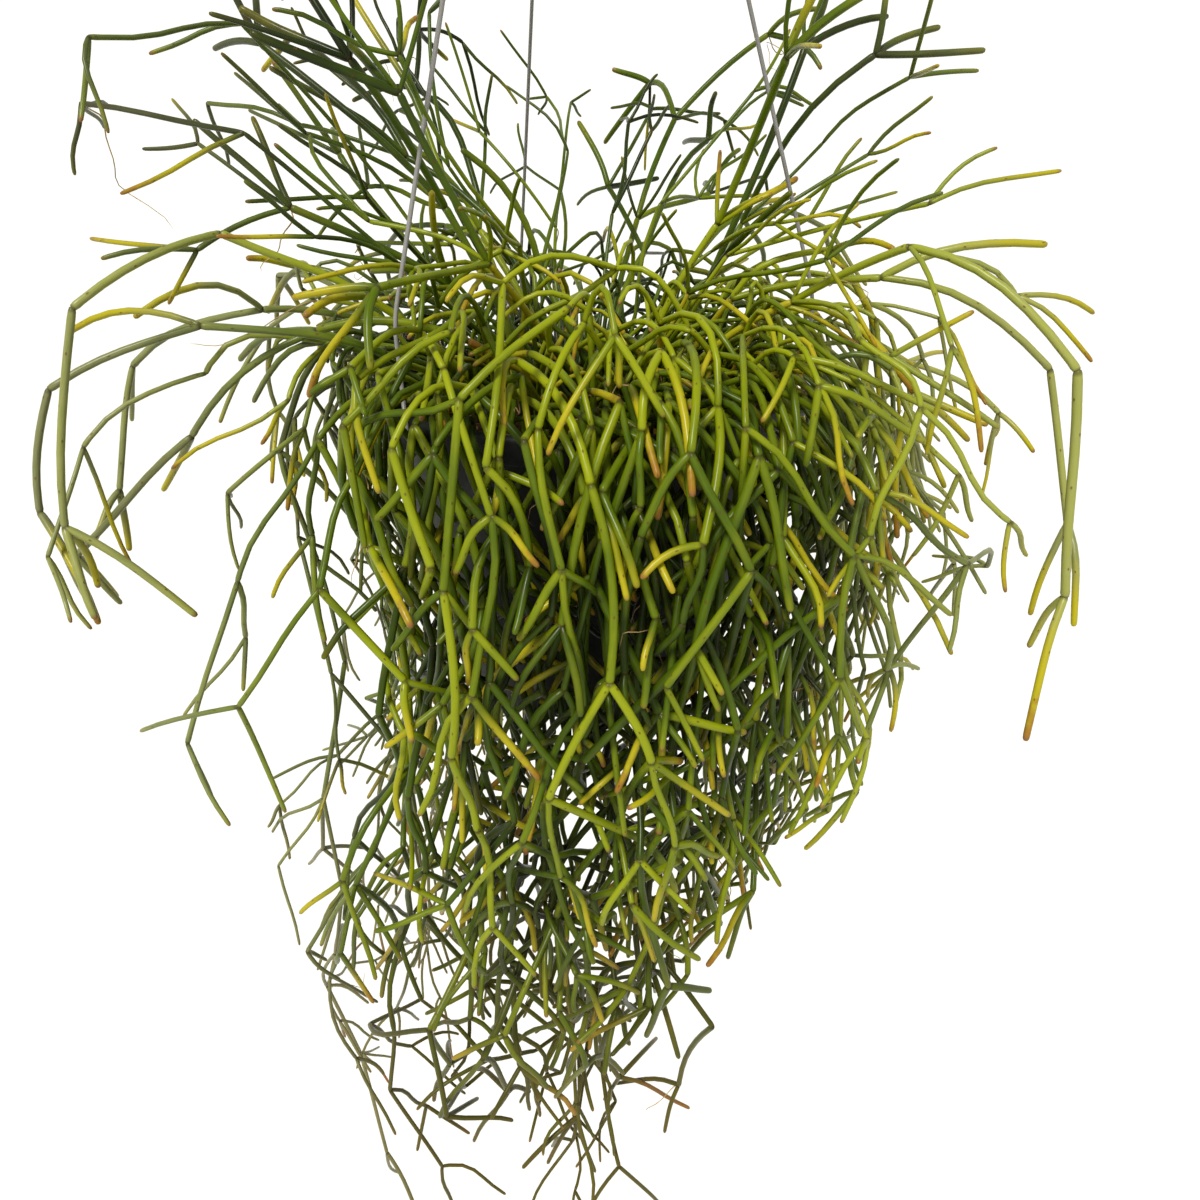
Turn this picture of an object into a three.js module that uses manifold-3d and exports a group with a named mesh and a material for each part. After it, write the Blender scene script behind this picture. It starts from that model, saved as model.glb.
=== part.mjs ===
// A mistletoe cactus in a hanging pot: a tapered plastic pot on three strands with a hub and a hook,
// filled with soil, out of which grow thin, forking stems that rise, arch out and trail down.
//
// Millimetres, +Z up. The origin is where the hook bears on the rail that it hangs from. Everything
// below is worked out round the middle of the pot's rim, and one group sets that under the hook.

import * as THREE from "three";
import { mergeVertices } from "three/addons/utils/BufferGeometryUtils.js";
import Module from "manifold-3d";

const wasm = await Module();
wasm.setup();

// ---------------------------------------------------------------- driving dimensions

// Pot: heights are measured from the top of the rim, downwards negative.
const RIM_RADIUS = 75.5;
const RIM_DEPTH = 9;
const SHOULDER_RADIUS = 72.5;
const BASE_RADIUS = 52;
const POT_HEIGHT = 115;
const WALL = 1.8;
const FLOOR = 2.4;
const POT_CHAMFER = 1.5;
const RIM_CHAMFER = 1;
const RIM_STEP = 2;
const POT_SIDES = 32;
const DRAIN_HOLES = 5;
const DRAIN_RADIUS = 4.5;
const DRAIN_CIRCLE = 30;
const CUTTER_SIDES = 8;
const CUTTER_PAST = 1;

// Ears on the rim, and the strands that pass through them.
const EAR_CIRCLE = 79.5;
const EAR_WIDTH = 10;
const EAR_LENGTH = 11;
const EAR_HEIGHT = 5;
const STRAND_AZIMUTHS = { rear: 110, left: 230, right: 350 };
const STRAND_RADIUS = 0.85;
const STRAND_HOLE_RADIUS = 1.4;
const STRAND_SIDES = 5;
const STRAND_RINGS = 2;
const STRAND_BEND_HEIGHT = 30;
const STRAND_BEND_REACH = 6;
const KNOB_RADIUS = 2.2;
const KNOB_LENGTH = 3;
const KNOB_SIDES = 6;
const KNOB_OVER_HUB = 1.6;
const KNOB_TO_TIP = 0.5;
const EAR_DROP = 1;
const EAR_ROOM = 6.8;

// Hub and hook.
const HUB_TOP = 240;
const HUB_THICKNESS = 4;
const HUB_RADIUS = 11;
const HUB_CHAMFER = 0.8;
const HUB_SIDES = 18;
const HUB_HOLE_CIRCLE = 7;
const HOOK_WIRE_RADIUS = 2.5;
const HOOK_SIDES = 7;
const HOOK_RINGS = 2;
const HOOK_NECK = 8;
const HOOK_ARC_RADIUS = 14;
const HOOK_ARC_HEIGHT = 278;
const HOOK_ARC_START = -60;
const HOOK_ARC_SWEEP = 260;
const HOOK_ARC_PIECES = 6;
const BEARING_HEIGHT = HOOK_ARC_HEIGHT + HOOK_ARC_RADIUS - HOOK_WIRE_RADIUS;

// Soil.
const SOIL_TOP = -12;
const SOIL_DOME = 2;
const SOIL_CHAMFER = 1.6;
const SOIL_PROFILE = [
  [1, 0.4],
  [0.5, 0.85],
  [0, 1],
];
const GAP = 0.3;
const SOIL_TO_WALL = 0.65;
const HOLE_RADIUS = 3.4;
const HOLE_DEPTH = 28;
const HOLE_SIDES = 5;

// Stems: a round stem is a three-sided tube here, as wide as the round one, with its corners outside it.
const STEM_SIDES = 3;
const LEADER_RINGS = 2;
const SIDE_RINGS = 1;
const TUBE_CORNER = 1.2;
const STEM_CLEARANCE = 1.1;
const POT_CLEARANCE = 1.1;
const POT_SAMPLES = 8;
const ROOT_CIRCLE = 60;
const ROOT_RISE = 7;
const ROOT_TURN = 0.5;
const FIRST_ROOT = 0.4;
const ROOT_COVER = 4;
const GOLDEN_ANGLE = Math.PI * (3 - Math.sqrt(5));
const LEADER_SHARE = Math.SQRT2 - 1;

// How far out from the pot's axis stems may reach, and how far to the front, by height above the rim.
const REACH = [
  [170, 90],
  [120, 124],
  [70, 148],
  [20, 174],
  [-70, 176],
  [-150, 146],
  [-230, 136],
  [-310, 134],
  [-400, 124],
  [-500, 110],
];
const FRONT = [
  [170, 40],
  [60, 80],
  [20, 106],
  [-30, 120],
  [-60, 126],
  [-500, 126],
];
const TOP_LIMIT = 165;
const BOTTOM_LIMIT = -505;

// How far out to the left of a slanting plane, and to the right, trailing stems may hang, by height. The
// loosest of them reach so much further to the left.
const LEFT = [
  [30, 100],
  [0, 88],
  [-130, 84],
  [-210, 128],
  [-330, 140],
  [-500, 120],
];
const RIGHT = [
  [-110, 170],
  [-200, 106],
  [-280, 80],
  [-350, 52],
  [-420, 34],
  [-500, 20],
];
const LEFT_SLANT = 0.3;
const LOOSE_REACH = 60;
const LOOSE_POWER = 12;

// Trailing stems rise to the crossing height, bend down over the rim in two segments, and hang between
// these two distances from a slanting axis, by height. The last number is how much of the curtain's
// depth is left on its left side. Below the pot they come in under it. They also drift round the axis,
// to and fro as they grow.
const CURTAIN = [
  [20, 84, 104, 0.15],
  [-40, 78, 108, 0.1],
  [-110, 64, 112, 0.1],
  [-170, 38, 104, 0.5],
  [-280, 8, 90, 1],
  [-400, 4, 70, 1],
  [-500, 0, 40, 1],
];
const CURTAIN_PULL = 1 / 40;
const SLANT = 0.2;
const DRIFT = 0.65;
const DRIFT_PHASES = 7;
const DRIFT_TURN = 1.1;
const NO_DISTANCE = 1e-6;
const CROSSING_HEIGHT = 12;
const CROSSING_LIFT = 0.65;
const CROSSING_FALL = -0.1;
const CROSSING_DROOPS = [0.8, 1.5];
const OVER_THE_RIM = 82;

// Trailing stems crowd round the azimuth that this turn gives, a little right of the front, and those on
// the right are shorter. The other stems, where they would lean towards the front, grow out at these
// azimuths to its sides instead, more of them to the left.
const CROWDING = 1.15;
const CROWDING_TURN = 12;
const SHORT_SIDE = 0.65;
const FRONT_SINE = -0.62;
const TO_THE_LEFT = 0.45;
const SIDE_AZIMUTHS = [195, 345];
const SIDE_SPREAD = 1.3;

// Angles, in degrees, between a segment and the one that it grows out of. A leader's are measured from
// a direction that already follows its wish.
const FIRST_ANGLES = [8, 50];
const LEADER_ANGLES = [5, 44];
const FORK_ANGLES = [28, 62];
const FOLLOWING = 0.6;
const SIBLING_COSINE = 0.83;
const SWAY = 0.8;
const TIP_DROOP = 0.22;
const DROOP_LENGTH = 40;

// Each new segment has so many tries, which are ranked by how well they follow the wish, with a little
// chance. One that doesn't fit anywhere at full length is tried shorter.
const SEED = 620;
const TRIES = 24;
const CHANCE = 0.5;
const PULLS = { leader: 0.55, side: 0.25, tip: 0.2 };
const SHORTER = [1, 0.6];

// What each kind of rooted stem does. Lengths are of one segment, from joint to joint. A leader is the
// row of segments that carries a stem on; sides and tips are the shorter segments that fork from it.
// Lift is how steeply a leader would rise, which it loses a little of at each joint.
const HABITS = {
  upright: {
    count: 12,
    leaders: [2, 3],
    leaderLength: [46, 76],
    sideLength: [28, 50],
    tipLength: [18, 38],
    sides: 0.85,
    sideForks: 0.45,
    droop: 0.16,
    lean: 0.8,
    lift: 1.1,
    liftLoss: 0.25,
    radius: 1.1,
  },
  arching: {
    count: 11,
    leaders: [3, 5],
    leaderLength: [40, 62],
    sideLength: [28, 50],
    tipLength: [20, 44],
    sides: 0.8,
    sideForks: 0.4,
    droop: 0.5,
    lean: 1,
    lift: 0.75,
    liftLoss: 0.5,
    radius: 1.25,
  },
  trailing: {
    count: 28,
    leaders: [4, 11],
    leaderLength: [40, 64],
    sideLength: [30, 52],
    tipLength: [22, 48],
    sides: 0.4,
    sideForks: 0.3,
    droop: 0.45,
    radius: 1.2,
  },
};

// ---------------------------------------------------------------- small helpers

const radians = THREE.MathUtils.degToRad;

// A closed geometry as a solid that can be joined and cut.
function solid(geometry) {
  const bare = geometry.clone();
  bare.deleteAttribute("normal");
  bare.deleteAttribute("uv");
  const merged = mergeVertices(bare, 1e-4);
  return new wasm.Manifold(
    new wasm.Mesh({
      numProp: 3,
      vertProperties: merged.attributes.position.array,
      triVerts: new Uint32Array(merged.index.array),
    }),
  );
}

// A solid back as a geometry with flat faces.
function geometryOf(manifold) {
  const mesh = manifold.getMesh();
  const indexed = new THREE.BufferGeometry();
  indexed.setAttribute("position", new THREE.BufferAttribute(mesh.vertProperties, 3));
  indexed.setIndex(new THREE.BufferAttribute(mesh.triVerts, 1));
  const flat = indexed.toNonIndexed();
  flat.computeVertexNormals();
  return flat;
}

function named(name, manifold, material) {
  const mesh = new THREE.Mesh(geometryOf(manifold), material);
  mesh.name = name;
  return mesh;
}

// A profile of [radius, height] points turned round the vertical axis.
function turned(profile, sides) {
  const points = profile.map(([radius, height]) => new THREE.Vector2(radius, height));
  return solid(new THREE.LatheGeometry(points, sides).rotateX(Math.PI / 2));
}

// A cylinder about a line from one point to another.
function rod(from, to, radius, sides) {
  const along = new THREE.Vector3().subVectors(to, from);
  const geometry = new THREE.CylinderGeometry(radius, radius, along.length(), sides);
  const turn = new THREE.Quaternion().setFromUnitVectors(
    new THREE.Vector3(0, 1, 0),
    along.clone().normalize(),
  );
  geometry.applyQuaternion(turn);
  geometry.translate(...new THREE.Vector3().addVectors(from, to).multiplyScalar(0.5).toArray());
  return solid(geometry);
}

// A line of quadratic arcs joined end to end, stepped evenly in each arc, so that a ring of the tube
// that follows it falls on every joint.
class ArcLine extends THREE.Curve {
  constructor(arcs) {
    super();
    this.arcs = arcs;
  }

  getPoint(t, target = new THREE.Vector3()) {
    const place = t * this.arcs.length;
    const index = Math.min(Math.floor(place), this.arcs.length - 1);
    return this.arcs[index].getPoint(place - index, target);
  }

  getPointAt(t, target) {
    return this.getPoint(t, target);
  }

  getTangentAt(t, target) {
    return this.getTangent(t, target);
  }
}

function tube(arcs, radius, sides, ringsPerArc) {
  const section = new THREE.Shape();
  for (let i = 0; i < sides; i++) {
    const angle = (2 * Math.PI * (i + 0.5)) / sides;
    const x = radius * Math.cos(angle);
    const y = radius * Math.sin(angle);
    if (i === 0) section.moveTo(x, y);
    else section.lineTo(x, y);
  }
  section.closePath();
  const geometry = new THREE.ExtrudeGeometry(section, {
    extrudePath: new ArcLine(arcs),
    steps: arcs.length * ringsPerArc,
  });
  return solid(geometry);
}

const arc = (start, control, end) => new THREE.QuadraticBezierCurve3(start, control, end);

function straight(start, end) {
  return arc(start, new THREE.Vector3().addVectors(start, end).multiplyScalar(0.5), end);
}

// ---------------------------------------------------------------- pot

const potSlope = (SHOULDER_RADIUS - BASE_RADIUS) / (POT_HEIGHT - RIM_DEPTH);

// Radius of the outside of the pot's side wall at a height.
const wallRadius = (height) => BASE_RADIUS + potSlope * (height + POT_HEIGHT);

function earPoint(azimuth, height) {
  const angle = radians(azimuth);
  return new THREE.Vector3(EAR_CIRCLE * Math.cos(angle), EAR_CIRCLE * Math.sin(angle), height);
}

function makePot() {
  const inner = (height) => wallRadius(height) - WALL;
  const floorTop = FLOOR - POT_HEIGHT;
  let pot = turned(
    [
      [0, -POT_HEIGHT],
      [BASE_RADIUS - POT_CHAMFER, -POT_HEIGHT],
      [wallRadius(POT_CHAMFER - POT_HEIGHT), POT_CHAMFER - POT_HEIGHT],
      [SHOULDER_RADIUS, -RIM_DEPTH],
      [RIM_RADIUS - RIM_CHAMFER, -RIM_DEPTH],
      [RIM_RADIUS, RIM_CHAMFER - RIM_DEPTH],
      [RIM_RADIUS, -RIM_CHAMFER],
      [RIM_RADIUS - RIM_CHAMFER, 0],
      [inner(0) + RIM_CHAMFER, 0],
      [inner(-RIM_STEP), -RIM_STEP],
      [inner(floorTop + RIM_CHAMFER), floorTop + RIM_CHAMFER],
      [inner(floorTop) - RIM_CHAMFER, floorTop],
      [0, floorTop],
    ],
    POT_SIDES,
  );
  for (const azimuth of Object.values(STRAND_AZIMUTHS)) {
    const ear = new THREE.BoxGeometry(EAR_LENGTH, EAR_WIDTH, EAR_HEIGHT);
    ear.translate(EAR_CIRCLE - 1, 0, -EAR_HEIGHT / 2 - EAR_DROP);
    ear.rotateZ(radians(azimuth));
    pot = pot.add(solid(ear));
  }
  for (const azimuth of Object.values(STRAND_AZIMUTHS)) {
    const below = earPoint(azimuth, -2 * RIM_DEPTH);
    const above = earPoint(azimuth, CUTTER_PAST);
    pot = pot.subtract(rod(below, above, STRAND_HOLE_RADIUS, CUTTER_SIDES));
  }
  for (let i = 0; i < DRAIN_HOLES; i++) {
    const angle = (2 * Math.PI * i) / DRAIN_HOLES;
    const x = DRAIN_CIRCLE * Math.cos(angle);
    const y = DRAIN_CIRCLE * Math.sin(angle);
    const below = new THREE.Vector3(x, y, -POT_HEIGHT - CUTTER_PAST);
    const above = new THREE.Vector3(x, y, floorTop + CUTTER_PAST);
    pot = pot.subtract(rod(below, above, DRAIN_RADIUS, CUTTER_SIDES));
  }
  return pot;
}

// ---------------------------------------------------------------- strands, hub and hook

// A strand rises straight from its ear, bends, and runs to its hole in the hub.
function strandLine(azimuth) {
  const angle = radians(azimuth);
  const foot = earPoint(azimuth, -EAR_HEIGHT - EAR_DROP - KNOB_LENGTH);
  const corner = earPoint(azimuth, STRAND_BEND_HEIGHT);
  const hole = new THREE.Vector3(
    HUB_HOLE_CIRCLE * Math.cos(angle),
    HUB_HOLE_CIRCLE * Math.sin(angle),
    HUB_TOP - HUB_THICKNESS / 2,
  );
  const slant = new THREE.Vector3().subVectors(hole, corner).normalize();
  const below = earPoint(azimuth, STRAND_BEND_HEIGHT - STRAND_BEND_REACH);
  const above = corner.clone().addScaledVector(slant, STRAND_BEND_REACH);
  const top = hole.clone().addScaledVector(slant, HUB_THICKNESS / 2 + KNOB_LENGTH);
  return { foot, below, corner, above, slant, hole, top };
}

function makeStrand(azimuth) {
  const line = strandLine(azimuth);
  const up = new THREE.Vector3(0, 0, 1);
  const stretch = tube(
    [
      straight(line.foot, line.below),
      arc(line.below, line.corner, line.above),
      straight(line.above, line.top),
    ],
    STRAND_RADIUS,
    STRAND_SIDES,
    STRAND_RINGS,
  );
  const footTop = line.foot.clone().addScaledVector(up, KNOB_LENGTH - GAP);
  const headBottom = line.hole.clone().addScaledVector(line.slant, HUB_THICKNESS / 2 + KNOB_OVER_HUB);
  const headTop = headBottom.clone().addScaledVector(line.slant, KNOB_LENGTH);
  const footBottom = line.foot.clone().addScaledVector(up, -KNOB_TO_TIP);
  const foot = rod(footBottom, footTop, KNOB_RADIUS, KNOB_SIDES);
  const head = rod(headBottom, headTop, KNOB_RADIUS, KNOB_SIDES);
  return stretch.add(foot).add(head);
}

function makeHook() {
  const onArc = (degrees, radius) =>
    new THREE.Vector3(
      radius * Math.cos(radians(degrees)),
      0,
      HOOK_ARC_HEIGHT + radius * Math.sin(radians(degrees)),
    );
  const arcStart = onArc(HOOK_ARC_START, HOOK_ARC_RADIUS);
  // The neck's control point lies on the axis, where the arc's tangent meets it.
  const tangentRise = arcStart.x * Math.tan(radians(90 + HOOK_ARC_START));
  const neckControl = new THREE.Vector3(0, 0, arcStart.z - tangentRise);
  const neckStart = new THREE.Vector3(0, 0, neckControl.z - HOOK_NECK);
  const shaftStart = new THREE.Vector3(0, 0, HUB_TOP - HUB_THICKNESS / 2);
  const arcs = [straight(shaftStart, neckStart), arc(neckStart, neckControl, arcStart)];
  const step = HOOK_ARC_SWEEP / HOOK_ARC_PIECES;
  for (let i = 0; i < HOOK_ARC_PIECES; i++) {
    const from = HOOK_ARC_START + i * step;
    const controlRadius = HOOK_ARC_RADIUS / Math.cos(radians(step / 2));
    arcs.push(
      arc(
        onArc(from, HOOK_ARC_RADIUS),
        onArc(from + step / 2, controlRadius),
        onArc(from + step, HOOK_ARC_RADIUS),
      ),
    );
  }
  const wire = tube(arcs, HOOK_WIRE_RADIUS, HOOK_SIDES, HOOK_RINGS);
  const hubBottom = HUB_TOP - HUB_THICKNESS;
  const hub = turned(
    [
      [0, hubBottom],
      [HUB_RADIUS - HUB_CHAMFER, hubBottom],
      [HUB_RADIUS, hubBottom + HUB_CHAMFER],
      [HUB_RADIUS, HUB_TOP - HUB_CHAMFER],
      [HUB_RADIUS - HUB_CHAMFER, HUB_TOP],
      [0, HUB_TOP],
    ],
    HUB_SIDES,
  );
  let hook = hub.add(wire);
  for (const azimuth of Object.values(STRAND_AZIMUTHS)) {
    const { hole, slant } = strandLine(azimuth);
    const below = hole.clone().addScaledVector(slant, -HUB_THICKNESS);
    const above = hole.clone().addScaledVector(slant, HUB_THICKNESS);
    hook = hook.subtract(rod(below, above, STRAND_HOLE_RADIUS, CUTTER_SIDES));
  }
  return hook;
}

// ---------------------------------------------------------------- growth

// Seeded draws between 0 and 1.
function drawsFrom(seed) {
  let state = seed;
  return () => {
    state = (state + 0x6d2b79f5) | 0;
    let t = state;
    t = Math.imul(t ^ (t >>> 15), t | 1);
    t ^= t + Math.imul(t ^ (t >>> 7), t | 61);
    return ((t ^ (t >>> 14)) >>> 0) / 4294967296;
  };
}

const draw = drawsFrom(SEED);
const between = ([low, high]) => low + (high - low) * draw();

// A table's value at a height: straight between its rows, which go from the top down.
function levelOf(table, height, column = 1) {
  if (height >= table[0][0]) return table[0][column];
  for (let i = 1; i < table.length; i++) {
    const upper = table[i - 1];
    const lower = table[i];
    if (height >= lower[0]) {
      const share = (height - lower[0]) / (upper[0] - lower[0]);
      return lower[column] + (upper[column] - lower[column]) * share;
    }
  }
  return table[table.length - 1][column];
}

// Squared distance between two straight pieces, p1-q1 and p2-q2.
function pieceDistance2(p1, q1, p2, q2) {
  const ux = q1[0] - p1[0];
  const uy = q1[1] - p1[1];
  const uz = q1[2] - p1[2];
  const vx = q2[0] - p2[0];
  const vy = q2[1] - p2[1];
  const vz = q2[2] - p2[2];
  const wx = p1[0] - p2[0];
  const wy = p1[1] - p2[1];
  const wz = p1[2] - p2[2];
  const a = ux * ux + uy * uy + uz * uz;
  const b = ux * vx + uy * vy + uz * vz;
  const c = ux * wx + uy * wy + uz * wz;
  const e = vx * vx + vy * vy + vz * vz;
  const f = vx * wx + vy * wy + vz * wz;
  const clamp = (value) => Math.min(1, Math.max(0, value));
  let s = clamp((b * f - c * e) / (a * e - b * b + 1e-9));
  const t = clamp((b * s + f) / e);
  s = clamp((b * t - c) / a);
  const dx = wx + s * ux - t * vx;
  const dy = wy + s * uy - t * vy;
  const dz = wz + s * uz - t * vz;
  return dx * dx + dy * dy + dz * dz;
}

// Everything that a new stem keeps clear of: straight pieces with a radius. A piece of a stem knows the
// joints at the two ends of its segment, because segments that meet at a joint may touch.
const obstacles = [];

function addObstacle(from, to, radius, startJoint = -1, endJoint = -1) {
  obstacles.push({ from, to, radius, startJoint, endJoint });
}

// A stem stays outside the pot's wall and rim, or inside it above the soil.
function clearOfPot([x, y, z], radius) {
  const away = Math.sqrt(x * x + y * y);
  const margin = radius + POT_CLEARANCE;
  if (z > margin || z < -POT_HEIGHT - margin) return true;
  const widest = z < -RIM_DEPTH - margin ? wallRadius(z) : RIM_RADIUS;
  if (away > widest + margin) return true;
  return away < SHOULDER_RADIUS - WALL - RIM_CHAMFER - margin && z > SOIL_TOP + SOIL_DOME + margin;
}

function withinReach([x, y, z], loose) {
  if (z > TOP_LIMIT || z < BOTTOM_LIMIT || y <= -levelOf(FRONT, z)) return false;
  if (Math.sqrt(x * x + y * y) >= levelOf(REACH, z)) return false;
  if (loose === null) return true;
  const leftmost = levelOf(LEFT, z) + LOOSE_REACH * loose;
  return x < levelOf(RIGHT, z) && x + LEFT_SLANT * y > -leftmost;
}

// How loosely a trailing stem keeps to the curtain's left side, from 0 to 1. Null for the other kinds.
const loosenessOf = (shoot) => (shoot.kind === "trailing" ? shoot.curtain ** LOOSE_POWER : null);

const mix = (p, q, t) => [0, 1, 2].map((i) => p[i] + (q[i] - p[i]) * t);
const dot = (u, v) => u[0] * v[0] + u[1] * v[1] + u[2] * v[2];
const cross = (u, v) => [
  u[1] * v[2] - u[2] * v[1],
  u[2] * v[0] - u[0] * v[2],
  u[0] * v[1] - u[1] * v[0],
];
const unit = (v) => {
  const size = Math.sqrt(dot(v, v));
  return [v[0] / size, v[1] / size, v[2] / size];
};

// A segment is a quadratic arc that leaves a joint along one direction and arrives along another.
function segmentOf(start, direction, finalDirection, size) {
  const control = [0, 1, 2].map((i) => start[i] + (direction[i] * size) / 2);
  const end = [0, 1, 2].map((i) => control[i] + (finalDirection[i] * size) / 2);
  return { start, control, end, heading: direction, finalDirection };
}

// Its straight pieces, as the tube that follows it has them: two in a leader, one in a short side stem.
function piecesOf({ start, control, end }, rings) {
  if (rings === 1) return [[start, end]];
  const middle = mix(mix(start, control, 0.5), mix(control, end, 0.5), 0.5);
  return [
    [start, middle],
    [middle, end],
  ];
}

function segmentFits(segment, rings, shoot, joint) {
  const pieces = piecesOf(segment, rings);
  const radius = HABITS[shoot.kind].radius;
  const loose = loosenessOf(shoot);
  for (const [from, to] of pieces) {
    for (let i = 1; i <= POT_SAMPLES; i++) {
      const point = mix(from, to, i / POT_SAMPLES);
      if (!withinReach(point, loose) || !clearOfPot(point, radius)) return false;
    }
  }
  for (const [from, to] of pieces) {
    for (const other of obstacles) {
      if (other.startJoint === joint || other.endJoint === joint) continue;
      const room = radius + other.radius + STEM_CLEARANCE;
      if (pieceDistance2(from, to, other.from, other.to) < room * room) return false;
    }
  }
  return true;
}

// A direction that forks off another by an angle, turned round it.
function forked(direction, angle, turn) {
  const helper = Math.abs(direction[2]) < 0.9 ? [0, 0, 1] : [1, 0, 0];
  const side = unit(cross(direction, helper));
  const other = cross(direction, side);
  const across = [0, 1, 2].map((i) => side[i] * Math.cos(turn) + other[i] * Math.sin(turn));
  return [0, 1, 2].map((i) => direction[i] * Math.cos(angle) + across[i] * Math.sin(angle));
}

// Where a leader would like to go from a point: an upright or arching one leans out and rises less at
// each joint. A trailing one crosses the rim, and then hangs at its own share of the curtain's depth and
// drifts round the slanting axis, each with its own phase.
function wantedDirection(shoot, [x, y, z], generation) {
  const outward = [Math.cos(shoot.azimuth), Math.sin(shoot.azimuth)];
  const { lean, lift, liftLoss } = HABITS[shoot.kind];
  if (shoot.kind !== "trailing") {
    return unit([outward[0] * lean, outward[1] * lean, lift - liftLoss * generation]);
  }
  if (Math.sqrt(x * x + y * y) < OVER_THE_RIM) {
    return unit([outward[0], outward[1], z < CROSSING_HEIGHT ? CROSSING_LIFT : CROSSING_FALL]);
  }
  const axisX = x - SLANT * Math.min(z, 0);
  const away = Math.sqrt(axisX * axisX + y * y) + NO_DISTANCE;
  const [outX, outY] = [axisX / away, y / away];
  const near = levelOf(CURTAIN, z, 1);
  const far = levelOf(CURTAIN, z, 2);
  const leftShare = levelOf(CURTAIN, z, 3);
  const outer = leftShare + ((1 - leftShare) * (1 + outX)) / 2;
  const share = shoot.curtain * outer + loosenessOf(shoot) * (1 - outer);
  const pull = (near + (far - near) * share - away) * CURTAIN_PULL;
  const phase = 2 * Math.PI * shoot.curtain * DRIFT_PHASES + generation * DRIFT_TURN;
  const drift = DRIFT * Math.sin(phase);
  return unit([outX * pull - outY * drift, outY * pull + outX * drift, -1]);
}

let jointCount = 0;
const shoots = [];

// A shoot's root segment stands straight up out of its hole.
function plantShoot(kind, number, x, y, azimuth) {
  const habit = HABITS[kind];
  const start = [x, y, SOIL_TOP - HOLE_DEPTH + GAP];
  const end = [x, y, SOIL_TOP + SOIL_DOME + ROOT_RISE];
  const root = segmentOf(start, [0, 0, 1], [0, 0, 1], end[2] - start[2]);
  const joint = jointCount++;
  const chain = { radius: habit.radius, rings: LEADER_RINGS, segments: [root] };
  const shoot = { name: kind + "_" + String(number).padStart(2, "0"), kind, azimuth, chains: [chain] };
  const [fewest, most] = habit.leaders;
  const share = ((number * LEADER_SHARE) % 1) * (1 - SHORT_SIDE * Math.max(0, Math.cos(azimuth)));
  const left = Math.round(fewest + (most - fewest) * share);
  shoot.curtain = draw();
  addObstacle([x, y, SOIL_TOP - ROOT_COVER], end, habit.radius, -1, joint);
  shoots.push(shoot);
  return { shoot, chain, joint, point: end, direction: [0, 0, 1], generation: 0, left, leading: true };
}

// The segments that a tip puts out, with the lengths and the fork angles that they draw from.
function offspring({ shoot, generation, left, leading }) {
  const habit = HABITS[shoot.kind];
  const list = [];
  if (leading && left > 0) {
    const angles = generation === 0 ? FIRST_ANGLES : LEADER_ANGLES;
    list.push({ sizes: habit.leaderLength, angles, pull: PULLS.leader, left: left - 1, leading: true });
    const extra = generation === 0 ? 0 : Math.floor(habit.sides + draw());
    for (let i = 0; i < extra; i++) {
      const forks = draw() < habit.sideForks ? 1 : 0;
      const side = { sizes: habit.sideLength, angles: FORK_ANGLES, pull: PULLS.side };
      list.push({ ...side, left: forks, leading: false });
    }
    return list;
  }
  if (!leading && left <= 0) return list;
  const tips = draw() < 2 / 3 ? 2 : 3;
  for (let i = 0; i < tips; i++) {
    const tip = { sizes: habit.tipLength, angles: FORK_ANGLES, pull: PULLS.tip };
    list.push({ ...tip, left: 0, leading: false });
  }
  return list;
}

function bend(direction, size, droop) {
  const sway = [draw() - 0.5, draw() - 0.5, draw() - 0.5];
  const sag = (droop * size) / DROOP_LENGTH;
  return unit([
    direction[0] + sway[0] * SWAY,
    direction[1] + sway[1] * SWAY,
    direction[2] + sway[2] * SWAY - sag,
  ]);
}

// The first of the options that is free, tried at full length and then shorter.
function firstThatFits(options, { shoot, point, joint }, taken, rings) {
  for (const share of SHORTER) {
    for (const { heading, size, final } of options) {
      if (taken.some((other) => dot(other, heading) > SIBLING_COSINE)) continue;
      const segment = segmentOf(point, heading, final, size * share);
      if (segmentFits(segment, rings, shoot, joint)) return segment;
    }
  }
  return null;
}

// How much a new segment sags: most where a trailing stem bends down over the rim.
function droopOf({ shoot, generation }, leading) {
  if (shoot.kind === "trailing" && generation < CROSSING_DROOPS.length) return CROSSING_DROOPS[generation];
  return leading ? HABITS[shoot.kind].droop : HABITS[shoot.kind].droop + TIP_DROOP;
}

// The tries of one new segment, the best first.
function optionsFor(tip, member, wanted) {
  const droop = droopOf(tip, member.leading);
  const follow = member.leading ? FOLLOWING : 0;
  const axis = unit([0, 1, 2].map((i) => tip.direction[i] + follow * wanted[i]));
  const options = [];
  for (let i = 0; i < TRIES; i++) {
    const heading = forked(axis, radians(between(member.angles)), 2 * Math.PI * draw());
    const size = between(member.sizes);
    const final = bend(heading, size, droop);
    const score = member.pull * (dot(heading, wanted) + dot(final, wanted)) + draw() * CHANCE;
    options.push({ heading, size, final, score });
  }
  return options.sort((a, b) => b.score - a.score);
}

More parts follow.
